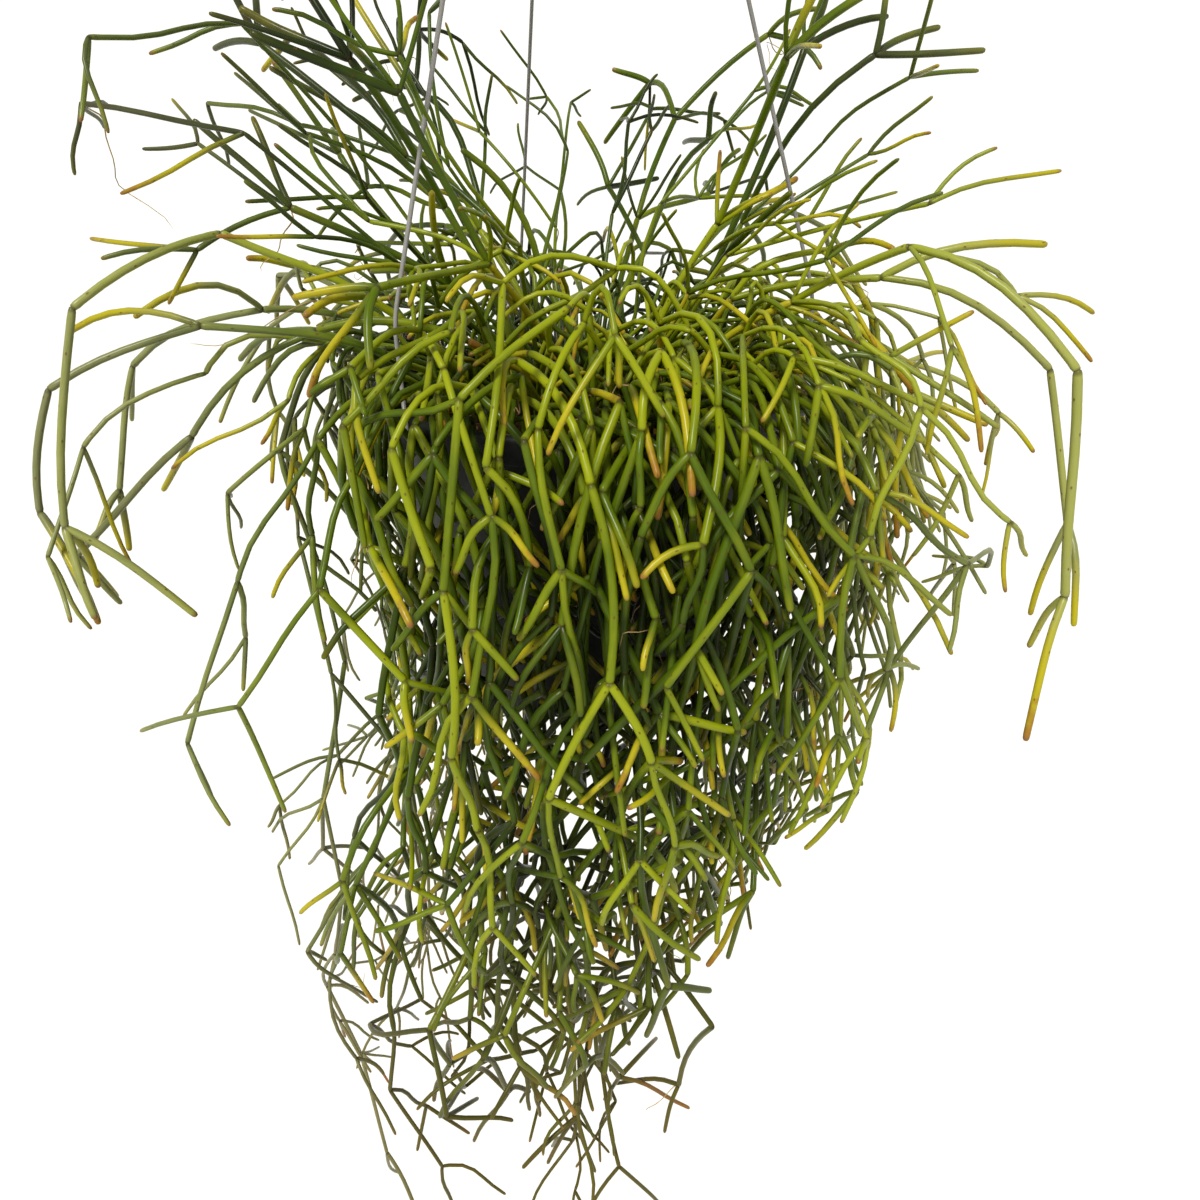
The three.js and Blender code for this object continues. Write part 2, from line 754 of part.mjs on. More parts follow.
// One tip puts out its segments, each in the place that suits it best among those that are free.
function growTip(tip) {
  const { shoot, point, joint } = tip;
  const habit = HABITS[shoot.kind];
  const wanted = wantedDirection(shoot, point, tip.generation);
  const taken = [];
  const grown = [];
  for (const member of offspring(tip)) {
    const options = optionsFor(tip, member, wanted);
    const rings = grown.length === 0 ? tip.chain.rings : SIDE_RINGS;
    const segment = firstThatFits(options, tip, taken, rings);
    if (segment) {
      taken.push(segment.heading);
      grown.push({ member, segment });
    }
  }
  const next = [];
  grown.forEach(({ member, segment }, index) => {
    const endJoint = jointCount++;
    let chain = tip.chain;
    if (index === 0) {
      chain.segments.push(segment);
    } else {
      chain = { radius: habit.radius, rings: SIDE_RINGS, segments: [segment] };
      shoot.chains.push(chain);
    }
    for (const [from, to] of piecesOf(segment, chain.rings)) {
      addObstacle(from, to, habit.radius, joint, endJoint);
    }
    next.push({
      shoot,
      chain,
      joint: endJoint,
      point: segment.end,
      direction: segment.finalDirection,
      generation: tip.generation + 1,
      left: member.left,
      leading: member.leading,
    });
  });
  return next;
}

// The strands and the ears, as pieces that stems keep clear of.
function addStrands() {
  for (const azimuth of Object.values(STRAND_AZIMUTHS)) {
    const { foot, corner, top } = strandLine(azimuth);
    const earTop = earPoint(azimuth, -EAR_DROP * 2);
    const earBottom = earPoint(azimuth, -EAR_HEIGHT);
    addObstacle(foot.toArray(), corner.toArray(), KNOB_RADIUS);
    addObstacle(corner.toArray(), top.toArray(), KNOB_RADIUS);
    addObstacle(earBottom.toArray(), earTop.toArray(), EAR_ROOM);
  }
}

// The way that a rooted stem at a place faces.
function facing(kind, place) {
  const azimuth = place + (draw() - 0.5) * ROOT_TURN;
  if (kind === "trailing") return azimuth - CROWDING * Math.cos(azimuth - radians(CROWDING_TURN));
  if (Math.sin(azimuth) >= FRONT_SINE) return azimuth;
  const side = Math.cos(azimuth) < TO_THE_LEFT ? SIDE_AZIMUTHS[0] : SIDE_AZIMUTHS[1];
  return radians(side) + (draw() - 0.5) * SIDE_SPREAD;
}

// Rooted stems stand in a spiral over the soil: the upright ones in its middle, the trailing ones
// outermost. All of them grow one joint at a time, so that none takes the others' room.
function growPlant() {
  addStrands();
  const total = Object.values(HABITS).reduce((sum, habit) => sum + habit.count, 0);
  let tips = [];
  let index = 0;
  for (const [kind, habit] of Object.entries(HABITS)) {
    for (let number = 1; number <= habit.count; number++) {
      const away = ROOT_CIRCLE * Math.sqrt((index + FIRST_ROOT) / total);
      const place = index * GOLDEN_ANGLE;
      const azimuth = facing(kind, place);
      tips.push(plantShoot(kind, number, away * Math.cos(place), away * Math.sin(place), azimuth));
      index++;
    }
  }
  while (tips.length > 0) tips = tips.flatMap(growTip);
}

// ---------------------------------------------------------------- stems and soil as solids

const vector = (p) => new THREE.Vector3(...p);

function makeShoot(shoot) {
  const tubes = shoot.chains.map(({ radius, rings, segments }) =>
    tube(
      segments.map(({ start, control, end }) => arc(vector(start), vector(control), vector(end))),
      radius * TUBE_CORNER,
      STEM_SIDES,
      rings,
    ),
  );
  return tubes.reduce((sum, next) => sum.add(next));
}

function makeSoil() {
  const floor = FLOOR - POT_HEIGHT + GAP;
  const edge = (height) => wallRadius(height) - WALL - SOIL_TO_WALL;
  let soil = turned(
    [
      [0, floor],
      [edge(floor) - SOIL_CHAMFER, floor],
      [edge(floor + SOIL_CHAMFER), floor + SOIL_CHAMFER],
      [edge(SOIL_TOP), SOIL_TOP],
      ...SOIL_PROFILE.map(([share, rise]) => [ROOT_CIRCLE * share, SOIL_TOP + SOIL_DOME * rise]),
    ],
    POT_SIDES / 2,
  );
  for (const { chains } of shoots) {
    const [x, y] = chains[0].segments[0].start;
    const bottom = new THREE.Vector3(x, y, SOIL_TOP - HOLE_DEPTH);
    const top = new THREE.Vector3(x, y, SOIL_TOP + SOIL_DOME + CUTTER_PAST);
    soil = soil.subtract(rod(bottom, top, HOLE_RADIUS, HOLE_SIDES));
  }
  return soil;
}

// ---------------------------------------------------------------- the assembly

const potPlastic = new THREE.MeshStandardMaterial({ color: 0x3a3e3b, roughness: 0.45, metalness: 0 });
const strandPlastic = new THREE.MeshStandardMaterial({ color: 0x8f9092, roughness: 0.35, metalness: 0 });
const peat = new THREE.MeshStandardMaterial({ color: 0x2a1d12, roughness: 0.95, metalness: 0 });
const stemGreens = {
  upright: new THREE.MeshStandardMaterial({ color: 0x4d6b1e, roughness: 0.4, metalness: 0 }),
  arching: new THREE.MeshStandardMaterial({ color: 0x6f8a24, roughness: 0.4, metalness: 0 }),
  trailing: new THREE.MeshStandardMaterial({ color: 0x54741f, roughness: 0.42, metalness: 0 }),
};

growPlant();

const plant = new THREE.Group();
plant.position.z = -BEARING_HEIGHT;
plant.add(named("pot", makePot(), potPlastic));
plant.add(named("soil", makeSoil(), peat));
plant.add(named("hook", makeHook(), strandPlastic));
for (const [side, azimuth] of Object.entries(STRAND_AZIMUTHS)) {
  plant.add(named("strand_" + side, makeStrand(azimuth), strandPlastic));
}
for (const shoot of shoots) {
  plant.add(named(shoot.name, makeShoot(shoot), stemGreens[shoot.kind]));
}

export default plant;
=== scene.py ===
# %% [markdown]
# # A mistletoe cactus in a hanging pot
#
# This lesson dresses a hanging plant. Its frame is a model of plain solids: a pot, its soil, a hook,
# three strands and fifty-one rooted stems. Each of them is rebuilt here as a fine surface that keeps
# its form, and the dense growth between them is added. Every surface is worked out with numpy as a
# function on a grid, or as a ring carried along a line, and every finish is made of nodes.

# %% Load the frame
import itertools
import math

import bpy
import numpy as np
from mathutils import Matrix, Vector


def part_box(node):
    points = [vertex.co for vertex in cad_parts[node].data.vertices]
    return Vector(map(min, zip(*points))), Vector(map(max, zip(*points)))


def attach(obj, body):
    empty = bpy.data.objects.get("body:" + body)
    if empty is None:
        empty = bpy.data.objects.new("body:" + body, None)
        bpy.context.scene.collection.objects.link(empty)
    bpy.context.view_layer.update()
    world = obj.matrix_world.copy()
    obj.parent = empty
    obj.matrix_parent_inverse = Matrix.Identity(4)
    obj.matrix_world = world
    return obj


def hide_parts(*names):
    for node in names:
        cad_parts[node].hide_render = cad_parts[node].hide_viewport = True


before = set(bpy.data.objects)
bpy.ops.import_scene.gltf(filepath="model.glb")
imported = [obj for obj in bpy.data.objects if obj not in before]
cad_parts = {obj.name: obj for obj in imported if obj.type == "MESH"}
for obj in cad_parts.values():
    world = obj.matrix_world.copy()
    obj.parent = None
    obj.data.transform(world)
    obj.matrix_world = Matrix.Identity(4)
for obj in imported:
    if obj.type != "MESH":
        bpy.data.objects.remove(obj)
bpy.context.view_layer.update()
print("the frame holds", len(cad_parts), "nodes")

# %% [markdown]
# ## Measures
#
# The plant is worked out in millimetres round the middle of the pot's rim, as its maker would measure
# it, and is set under the hook only when its meshes are made. The measures that the frame's solids were
# built from are repeated here, so that the fine surfaces fit them.

# %% Measures of the pot, the hanger and the soil, in millimetres
MM = 0.001
RIM_RADIUS = 75.5
RIM_DEPTH = 9
SHOULDER_RADIUS = 72.5
BASE_RADIUS = 52
POT_HEIGHT = 115
WALL = 1.8
FLOOR = 2.4
DRAIN_HOLES = 5
DRAIN_RADIUS = 4.5
DRAIN_CIRCLE = 30
EAR_CIRCLE = 79.5
EAR_WIDTH = 10
EAR_LENGTH = 11
EAR_HEIGHT = 5
EAR_DROP = 1
EAR_ROOM = 6.8
STRAND_AZIMUTHS = {"rear": 110, "left": 230, "right": 350}
STRAND_HOLE_RADIUS = 1.4
STRAND_BEND_HEIGHT = 30
STRAND_BEND_REACH = 6
KNOB_RADIUS = 2.2
KNOB_LENGTH = 3
KNOB_OVER_HUB = 1.6
HUB_TOP = 240
HUB_THICKNESS = 4
HUB_RADIUS = 11
HUB_HOLE_CIRCLE = 7
HOOK_WIRE_RADIUS = 2.5
HOOK_ARC_RADIUS = 14
HOOK_ARC_HEIGHT = 278
HOOK_ARC_START = -60
HOOK_ARC_SWEEP = 260
HOOK_NECK = 8
BEARING_HEIGHT = HOOK_ARC_HEIGHT + HOOK_ARC_RADIUS - HOOK_WIRE_RADIUS
SOIL_TOP = -12
SOIL_DOME = 2
GAP = 0.3
SOIL_TO_WALL = 0.65
HOLE_DEPTH = 28
POT_SLOPE = (SHOULDER_RADIUS - BASE_RADIUS) / (POT_HEIGHT - RIM_DEPTH)


def wall_radius(height):
    """Radius of the outside of the pot's side wall: it grows evenly from the base to the shoulder."""
    return BASE_RADIUS + POT_SLOPE * (height + POT_HEIGHT)


def to_frame(points):
    """Millimetres round the rim's middle, as metres under the hook."""
    return (np.asarray(points, float) - (0, 0, BEARING_HEIGHT)) * MM


# %% [markdown]
# ## Camera and light
#
# The plant is seen from close by and from a little above, which makes the near stems look much thicker
# than the far ones. The lens is worked out from that spread: a focal length in pixels, turned into
# millimetres on the camera's sensor. The light is a white surround and three far, soft lamps. The floor
# could lie just below the lowest stems, but a hanging plant throws no shadow near by, so it lies far below
# and is so large that its edge is never seen. Its shade makes it as bright as the surround behind it.

# %% Camera
IMAGE_PIXELS = 1200
FOCAL_PIXELS = 811
SENSOR = 36.0
CAMERA_PLACE = (7, -300, 68)
CAMERA_PITCH = 28

camera_data = bpy.data.cameras.new("camera")
camera_data.sensor_width = SENSOR
camera_data.lens = FOCAL_PIXELS / IMAGE_PIXELS * SENSOR
camera_data.clip_start = 0.01
camera = bpy.data.objects.new("camera", camera_data)
camera.location = to_frame(CAMERA_PLACE)
camera.rotation_euler = (math.radians(90 - CAMERA_PITCH), 0, 0)
bpy.context.scene.collection.objects.link(camera)
bpy.context.scene.camera = camera
print("lens", round(camera_data.lens, 1), "mm")

# %% Floor, surround and lamps
FLOOR_HEIGHT = -9.0
FLOOR_SIZE = 800
FLOOR_SHADE = (0.68, 0.68, 0.66)

bpy.ops.mesh.primitive_plane_add(size=FLOOR_SIZE, location=(0, 0, FLOOR_HEIGHT))
floor = bpy.context.object
floor.name = "floor"
paint = bpy.data.materials.new("floor_paint")
paint.use_nodes = True
paint_inputs = paint.node_tree.nodes["Principled BSDF"].inputs
for name, value in (("Base Color", (*FLOOR_SHADE, 1)), ("Roughness", 1.0), ("Specular IOR Level", 0.0)):
    paint_inputs[name].default_value = value
floor.data.materials.append(paint)


def lamp(name, azimuth, height, spread, power, colour):
    """A far soft lamp, as a patch of bright sky. The way to it and its spread are in degrees."""
    data = bpy.data.lights.new(name, "SUN")
    data.angle = math.radians(spread)
    data.energy = power
    data.color = colour
    light = bpy.data.objects.new(name, data)
    light.rotation_euler = (math.radians(90 - height), 0, math.radians(azimuth + 90))
    bpy.context.scene.collection.objects.link(light)


lamp("key", azimuth=-115, height=52, spread=16, power=4.4, colour=(1.0, 0.99, 0.94))
lamp("fill", azimuth=-20, height=40, spread=50, power=0.3, colour=(0.98, 1.0, 0.98))
lamp("back", azimuth=90, height=50, spread=50, power=0.3, colour=(1.0, 1.0, 1.0))
bpy.context.scene.view_settings.view_transform = "Standard"
print("lamps:", ", ".join(light.name for light in bpy.data.lights))

# %% [markdown]
# ## Finishes
#
# A finish is a small graph of nodes. To write one as a formula, a socket is wrapped in a class whose
# operators add Math nodes, so `1 - mask` or `glow * 0.3` reads as it would on paper. Colours are mixed
# by Mix nodes, because a Math node would turn them grey. Any other node comes from one method.

# %% A socket that can be reckoned with
class Socket:
    """A node's output in a material. Arithmetic on it adds Math nodes to the same material."""

    def __init__(self, tree, output=None):
        self.tree = tree
        self.output = output

    def node(self, kind, settings, sockets, output=0):
        """Adds a node of a type: first its settings, then the values or links of its sockets."""
        made = self.tree.nodes.new(kind)
        for name, value in settings.items():
            setattr(made, name, value)
        for name, value in sockets.items():
            if isinstance(value, Socket):
                self.tree.links.new(value.output, made.inputs[name])
            else:
                made.inputs[name].default_value = value
        return Socket(self.tree, made.outputs[output])

    def axes(self):
        """The three numbers of a vector."""
        return [self.node("ShaderNodeSeparateXYZ", {}, {0: self}, output=i) for i in range(3)]

    def maths(self, operation, first, second=0.0):
        """A Math node on one or two values."""
        return self.node("ShaderNodeMath", {"operation": operation}, {0: first, 1: second})

    def __add__(self, other):
        return self.maths("ADD", self, other)

    def __sub__(self, other):
        return self.maths("SUBTRACT", self, other)

    def __rsub__(self, other):
        return self.maths("SUBTRACT", other, self)

    def __mul__(self, other):
        return self.maths("MULTIPLY", self, other)

    def __truediv__(self, other):
        return self.maths("DIVIDE", self, other)

    __radd__ = __add__
    __rmul__ = __mul__

    def between(self, low, high):
        """0 below low, 1 above high, and a smooth rise between them; the other way if low is higher."""
        settings = {"interpolation_type": "SMOOTHSTEP"}
        return self.node("ShaderNodeMapRange", settings, {0: self, 1: low, 2: high, 3: 0.0, 4: 1.0})

    def mix(self, first, second):
        """A colour that goes from the first to the second as this value goes from 0 to 1."""
        settings = {"data_type": "RGBA", "clamp_factor": True}
        return self.node("ShaderNodeMix", settings, {0: self, 6: first, 7: second}, output=2)


# %% Colours, and helpers of a finish
def colour(red, green, blue):
    """A colour given as screen values from 0 to 255, turned into the linear light that nodes use."""
    screen = np.array((red, green, blue)) / 255
    linear = np.where(screen <= 0.04045, screen / 12.92, ((screen + 0.055) / 1.055) ** 2.4)
    return (*linear.tolist(), 1.0)


def new_finish(name):
    """An empty material: the material, its Principled shader, and a socket to start formulas from."""
    material = bpy.data.materials.new(name)
    material.use_nodes = True
    tree = material.node_tree
    shader = tree.nodes["Principled BSDF"]
    return material, shader, Socket(tree)


def feed(shader, name, value):
    """Links a value to one of the shader's sockets, or sets it where the value is the same all over."""
    if isinstance(value, Socket):
        value.tree.links.new(value.output, shader.inputs[name])
    else:
        shader.inputs[name].default_value = value


def noise(start, vector, scale, detail=3.0):
    """Cloudy values round 0.5 at a scale of so many features a metre, or a unit of the vector."""
    return start.node("ShaderNodeTexNoise", {}, {"Vector": vector, "Scale": scale, "Detail": detail})


def object_place(start):
    """Where a point is, in metres round the hook: it stays the same when the part is moved."""
    return start.node("ShaderNodeTexCoord", {}, {}, output=3)


def bump(start, height, distance, strength=1.0):
    """A normal tilted by fine relief: height 1 stands so many metres out."""
    sockets = {"Height": height, "Distance": distance, "Strength": strength}
    return start.node("ShaderNodeBump", {}, sockets)


# %% [markdown]
# ## The surround
#
# The surround is as bright as the floor near the horizon, so the background is one pale tone, and dimmer
# overhead. An evenly bright one would be the simple way, but it would light the inside of the bush from
# above. This way the light from above is mostly the key lamp's, and the depths stay dark.

# %% Surround
SKY_COLOUR = (1.0, 0.99, 0.93, 1)
HORIZON_LIGHT = 1.1
OVERHEAD_LIGHT = 0.25
DIMMING_HEIGHTS = (0.2, 0.6)

world = bpy.data.worlds.new("surround")
bpy.context.scene.world = world
world.use_nodes = True
sky_start = Socket(world.node_tree)
upward = sky_start.node("ShaderNodeTexCoord", {}, {}, output=0).axes()[2]
sky_light = upward.between(*DIMMING_HEIGHTS) * (OVERHEAD_LIGHT - HORIZON_LIGHT) + HORIZON_LIGHT
sky = world.node_tree.nodes["Background"]
sky.inputs["Color"].default_value = SKY_COLOUR
world.node_tree.links.new(sky_light.output, sky.inputs["Strength"])
print("surround from", HORIZON_LIGHT, "down to", OVERHEAD_LIGHT)

# %% [markdown]
# ## The stems' skin
#
# A stem is waxy and green, with painted light and shade in its colour: painted deep green for shade and
# painted yellow-green for sunlight. Young ends are yellow, orange or tan where they are flushed. Low down the
# skin ages to olive, and the outer shoots have a pale bloom. A dark brown ring marks each joint, and small
# red-brown areoles climb it in a spiral.
#
# A painted picture wrapped round each stem could give this, but there are thousands of segments of all
# lengths, so the finish is a formula. The mesh carries what it needs: for each point the distance from
# the segment's base and to its end, its flush, and how much painted light and shade it gets. The UV map
# runs round the stem and along it, and the areoles are worked out in it: one in each row, turned on by the
# golden share.

# %% Finish of the stems
DEEP_GREEN = colour(13, 17, 3)
SHADE_GREEN = colour(34, 46, 4)
LEAF_GREEN = colour(64, 82, 5)
LIT_GREEN = colour(124, 132, 10)
OLIVE = colour(76, 68, 25)
BLOOM = colour(146, 142, 104)
YELLOW = colour(150, 140, 20)
ORANGE_TAN = colour(130, 94, 28)
TIP_TAN = colour(118, 80, 44)
JOINT_BROWN = colour(48, 38, 16)
AREOLE_BROWN = colour(84, 48, 20)
CLOUDS = 55.0
FINE_MARKS = 420.0
STREAKS = (9.0, 0.16, 7.0)
SHADE_LIGHTS = (-0.5, 0.0)
LEAF_LIGHTS = (-0.1, 0.42)
LIT_LIGHTS = (0.28, 1.0)
YELLOW_FLUSH = (0.1, 0.6)
ORANGE_FLUSH = (0.68, 1.1)
AREOLE_ROWS = 4.6
AREOLE_EDGE = (0.62, 0.22)
AREOLE_PIT = (0.5, 0.1)
AREOLE_SHARE = 0.75
AREOLE_STRETCH = 1.4
GOLDEN_TURN = 0.381966
STEM_ROUND = 11.3
BASE_RING = (1.5, 0.2)
END_RING = (0.8, 0.0)
DRY_TIP = (2.0, 0.3)
DRY_TINTS = (0.2, 0.9)
RING_LEAST, RING_CLOUDS = 0.4, 0.6
CLOUD_LIGHT, TINT_LIGHT, STREAK_LIGHT = 0.5, 0.9, 0.25
AGED_LEAST, AGED_CLOUDS = 0.45, 0.8
FLUSH_CLOUDS, FLUSH_MARKS = 0.5, 0.6
FINE_ROUGHNESS, RING_ROUGHNESS, AREOLE_ROUGHNESS = 0.2, 0.25, 0.2
FINE_RELIEF, STREAK_RELIEF, AREOLE_RELIEF, PIT_RELIEF = 0.35, 0.5, 0.8, 0.9
RELIEF = 0.00022
RELIEF_STRENGTH = 0.7
SKIN_SHINE = 0.12
AGED_HEIGHTS = (-0.4, -0.6)
BLOOM_REACH = (0.06, 0.13)
WAX = 0.1
WAX_ROUGHNESS = 0.22


def stem_finish(name, shift, roughness, bloom):
    """Skin of a stem, whose base colour holds painted light and shade. Shift moves the whole finish's painted
    light towards the sunlit colours or away from them, and bloom says how much of the outer shoots' pale
    bloom it has."""
    material, shader, start = new_finish(name)
    place = start.node("ShaderNodeAttribute", {"attribute_name": "place"}, {}, output=1)
    tone = start.node("ShaderNodeAttribute", {"attribute_name": "tone"}, {}, output=1)
    from_base, to_end, is_tip = place.axes()
    flush, sun, tint = tone.axes()
    around, along, _ = start.node("ShaderNodeUVMap", {"uv_map": "skin"}, {}).axes()
    where = object_place(start)
    across, _, height = where.axes()
    cloud = noise(start, where, CLOUDS)
    fine = noise(start, where, FINE_MARKS, 2.0)
    stretched = [value * scale for value, scale in zip((around, along, tint), STREAKS)]
    streak = noise(start, start.node("ShaderNodeCombineXYZ", {}, dict(enumerate(stretched))), 1.0, 2.0)

    # Painted light and shade: the light value chooses between deep, shade, leaf and lit green, so lit and
    # shaded greens are painted into the base colour.
    uneven = (cloud - 0.5) * CLOUD_LIGHT + (tint - 0.5) * TINT_LIGHT + (streak - 0.5) * STREAK_LIGHT
    light = sun + uneven + shift
    dark = light.between(*SHADE_LIGHTS).mix(DEEP_GREEN, SHADE_GREEN)
    green = light.between(*LIT_LIGHTS).mix(light.between(*LEAF_LIGHTS).mix(dark, LEAF_GREEN), LIT_GREEN)
    low = height.between(*AGED_HEIGHTS)
    aged = (low * (AGED_LEAST + cloud * AGED_CLOUDS)).mix(green, OLIVE)
    aside = start.maths("ABSOLUTE", across).between(*BLOOM_REACH)
    bloomed = (aside * bloom * (0.5 + streak)).mix(aged, BLOOM)
    yellow = (flush + (cloud - 0.5) * FLUSH_CLOUDS).between(*YELLOW_FLUSH)
    orange = (flush + (fine - 0.5) * FLUSH_MARKS).between(*ORANGE_FLUSH)
    ripe = orange.mix(yellow.mix(bloomed, low.mix(YELLOW, TIP_TAN)), ORANGE_TAN)

    row = along / AREOLE_ROWS
    step = start.maths("FLOOR", row)
    rise = (row - step - 0.5) * AREOLE_ROWS
    offset = around - step * GOLDEN_TURN - tint
    turn = (offset - start.maths("ROUND", offset)) * STEM_ROUND
    spot_distance = start.maths("SQRT", rise * rise + turn * turn * AREOLE_STRETCH)
    spot = spot_distance.between(*AREOLE_EDGE)
    base_ring = from_base.between(*BASE_RING)
    end_ring = to_end.between(*END_RING) * (1 - is_tip)
    ring = start.maths("MAXIMUM", base_ring, end_ring) * (RING_LEAST + cloud * RING_CLOUDS)
    ringed = ring.mix(ripe, JOINT_BROWN)
    spotted = (spot * AREOLE_SHARE).mix(ringed, AREOLE_BROWN)
    dry = to_end.between(*DRY_TIP) * is_tip * tint.between(*DRY_TINTS)

    feed(shader, "Base Color", dry.mix(spotted, TIP_TAN))
    rough = (fine - 0.5) * FINE_ROUGHNESS + ring * RING_ROUGHNESS + spot * AREOLE_ROUGHNESS
    feed(shader, "Roughness", roughness + rough)
    pit = spot_distance.between(*AREOLE_PIT) * PIT_RELIEF
    relief = fine * FINE_RELIEF + streak * STREAK_RELIEF + spot * AREOLE_RELIEF - pit
    feed(shader, "Normal", bump(start, relief, RELIEF, RELIEF_STRENGTH))
    feed(shader, "Coat Weight", (1 - low) * WAX)
    feed(shader, "Coat Roughness", WAX_ROUGHNESS)
    feed(shader, "Specular IOR Level", SKIN_SHINE)
    return material


# Painted light and shade: upright stems get a more shaded copy of the skin, arching ones a more lit copy, and
# trailing ones one in between.
skins = {
    "upright": stem_finish("upright_stem_skin", -0.2, 0.34, 0.15),
    "arching": stem_finish("arching_stem_skin", 0.06, 0.32, 0.42),
    "trailing": stem_finish("trailing_stem_skin", -0.06, 0.34, 0.42),
}
print("skins:", ", ".join(skins))

# %% [markdown]
# ## The other finishes
#
# The pot is moulded dark plastic with a little dust, which settles on what faces up. The dust could be a
# second layer of shader, but as a change of colour and roughness it is lighter and looks the same. The
# hanger is grey plastic that lets some light into it. Soil, bark and dried roots are dull and differ from
# crumb to crumb, so their colours come from coarse and fine noise together.

# %% Finishes of the pot, the hanger, the soil, the bark and the dried roots
POT_DUST = 70.0
POT_GRAIN = 2600.0
DUST_LEAST, DUST_ABOVE = 0.25, 0.5
DUST_FACES = (0.1, 0.9)
DUST_FROM, DUST_CONTRAST = 0.42, 2.2
HANGER_WEAR = 160.0
LIGHT_LET_IN = 0.25
PLASTIC_RELIEF = 0.0001
CRUMB_SHARE = 0.6
CRUMB_CONTRAST = (0.35, 0.85)
CRUMB_RELIEF = 0.0006
POT_SHINE, CRUMB_SHINE = 0.25, 0.2
POT_DARK = colour(20, 23, 19)
POT_DUSTY = colour(46, 48, 38)
HANGER_GREY = colour(136, 134, 131)
PEAT_DARK = colour(28, 19, 12)
PEAT_LIGHT = colour(70, 50, 32)
BARK_DARK = colour(62, 38, 22)
BARK_LIGHT = colour(146, 106, 68)
ROOT_DARK = colour(104, 76, 46)
ROOT_LIGHT = colour(176, 146, 100)


def pot_finish():
    """Dark plastic: the more a face looks up, the more of the dust's clouds settle on it."""
    material, shader, start = new_finish("pot_plastic_skin")
    dust = noise(start, object_place(start), POT_DUST, 6.0)
    grain = noise(start, object_place(start), POT_GRAIN, 1.0)
    up = start.node("ShaderNodeNewGeometry", {}, {}, output=1).axes()[2]
    settled = up.between(*DUST_FACES) * DUST_ABOVE + DUST_LEAST
    dusty = (dust - DUST_FROM) * DUST_CONTRAST * settled
    feed(shader, "Base Color", dusty.mix(POT_DARK, POT_DUSTY))
    feed(shader, "Roughness", 0.4 + dust * 0.2)
    feed(shader, "Normal", bump(start, grain + dust * 0.5, PLASTIC_RELIEF, 0.5))
    feed(shader, "Specular IOR Level", POT_SHINE)
    return material


def hanger_finish():
    """Grey plastic of one colour, that is scuffed in places and lets a quarter of the light in."""
    material, shader, start = new_finish("hanger_plastic_skin")
    wear = noise(start, object_place(start), HANGER_WEAR, 4.0)
    feed(shader, "Roughness", 0.28 + wear * 0.2)
    feed(shader, "Normal", bump(start, wear, PLASTIC_RELIEF, 0.4))
    feed(shader, "Base Color", HANGER_GREY)
    feed(shader, "Transmission Weight", LIGHT_LET_IN)
    return material


def crumb_finish(name, dark, light, scale, roughness):
    """A dull finish between two colours, in patches of so many a metre with finer ones in them."""
    material, shader, start = new_finish(name)
    patch = noise(start, object_place(start), scale, 2.0)
    fine = noise(start, object_place(start), scale * 7, 4.0)
    crumbs = ((patch + fine) * CRUMB_SHARE).between(*CRUMB_CONTRAST)
    feed(shader, "Base Color", crumbs.mix(dark, light))
    feed(shader, "Roughness", roughness - patch * 0.1)
    feed(shader, "Normal", bump(start, fine + patch, CRUMB_RELIEF, 0.9))
    feed(shader, "Specular IOR Level", CRUMB_SHINE)
    return material


pot_skin = pot_finish()
hanger_skin = hanger_finish()
peat_skin = crumb_finish("potting_soil_skin", PEAT_DARK, PEAT_LIGHT, 240.0, 0.95)
bark_skin = crumb_finish("bark_skin", BARK_DARK, BARK_LIGHT, 130.0, 0.85)
root_skin = crumb_finish("dried_root_skin", ROOT_DARK, ROOT_LIGHT, 60.0, 0.8)
print("finishes:", len(bpy.data.materials))

# %% [markdown]
# ## How the plant grows
#
# The plant is grown, not drawn: every rooted stem puts out one segment after another, and at each joint
# it forks. A new segment tries some two dozen headings, and takes the one that suits its kind best and
# keeps clear of everything grown before. The frame's solids were grown by these same rules from this
# same seed, so repeating them here gives the middle lines of all its stems exactly. Reading the lines
# off the frame's triangles would be the other way, but it would lose the bends and the joints.

# %% Rules of the growth
SEED = 620
TRIES = 24
POT_SAMPLES = 8
GOLDEN_ANGLE = math.pi * (3 - math.sqrt(5))
LEADER_SHARE = math.sqrt(2) - 1
SHORTER = (1, 0.6)
STEM_CLEARANCE = 1.1
POT_CLEARANCE = 1.1
ROOT_CIRCLE = 60
ROOT_RISE = 7
ROOT_TURN = 0.5
FIRST_ROOT = 0.4
# Tables go from the top down, with the height first. REACH, FRONT, LEFT and RIGHT say how far stems may
# be from the pot's axis all round, in front, at the left and at the right. CURTAIN has the nearest and the
# furthest distance that stems hang at, and how much of the way between them the left ones use.
REACH = np.array([[170, 90], [120, 124], [70, 148], [20, 174], [-70, 176], [-150, 146],
                  [-230, 136], [-310, 134], [-400, 124], [-500, 110]], float)
FRONT = np.array([[170, 40], [60, 80], [20, 106], [-30, 120], [-60, 126], [-500, 126]], float)
LEFT = np.array([[30, 100], [0, 88], [-130, 84], [-210, 128], [-330, 140], [-500, 120]], float)
RIGHT = np.array([[-110, 170], [-200, 106], [-280, 80], [-350, 52], [-420, 34], [-500, 20]], float)
LEFT_SLANT = 0.3
LOOSE_POWER = 12
LOOSE_REACH = 60
CURTAIN = np.array([[20, 84, 104, 0.15], [-40, 78, 108, 0.1], [-110, 64, 112, 0.1], [-170, 38, 104, 0.5],
                    [-280, 8, 90, 1], [-400, 4, 70, 1], [-500, 0, 40, 1]], float)
TOP_LIMIT = 165
BOTTOM_LIMIT = -505
CROSSING_HEIGHT = 12
CROSSING_LIFT = 0.65
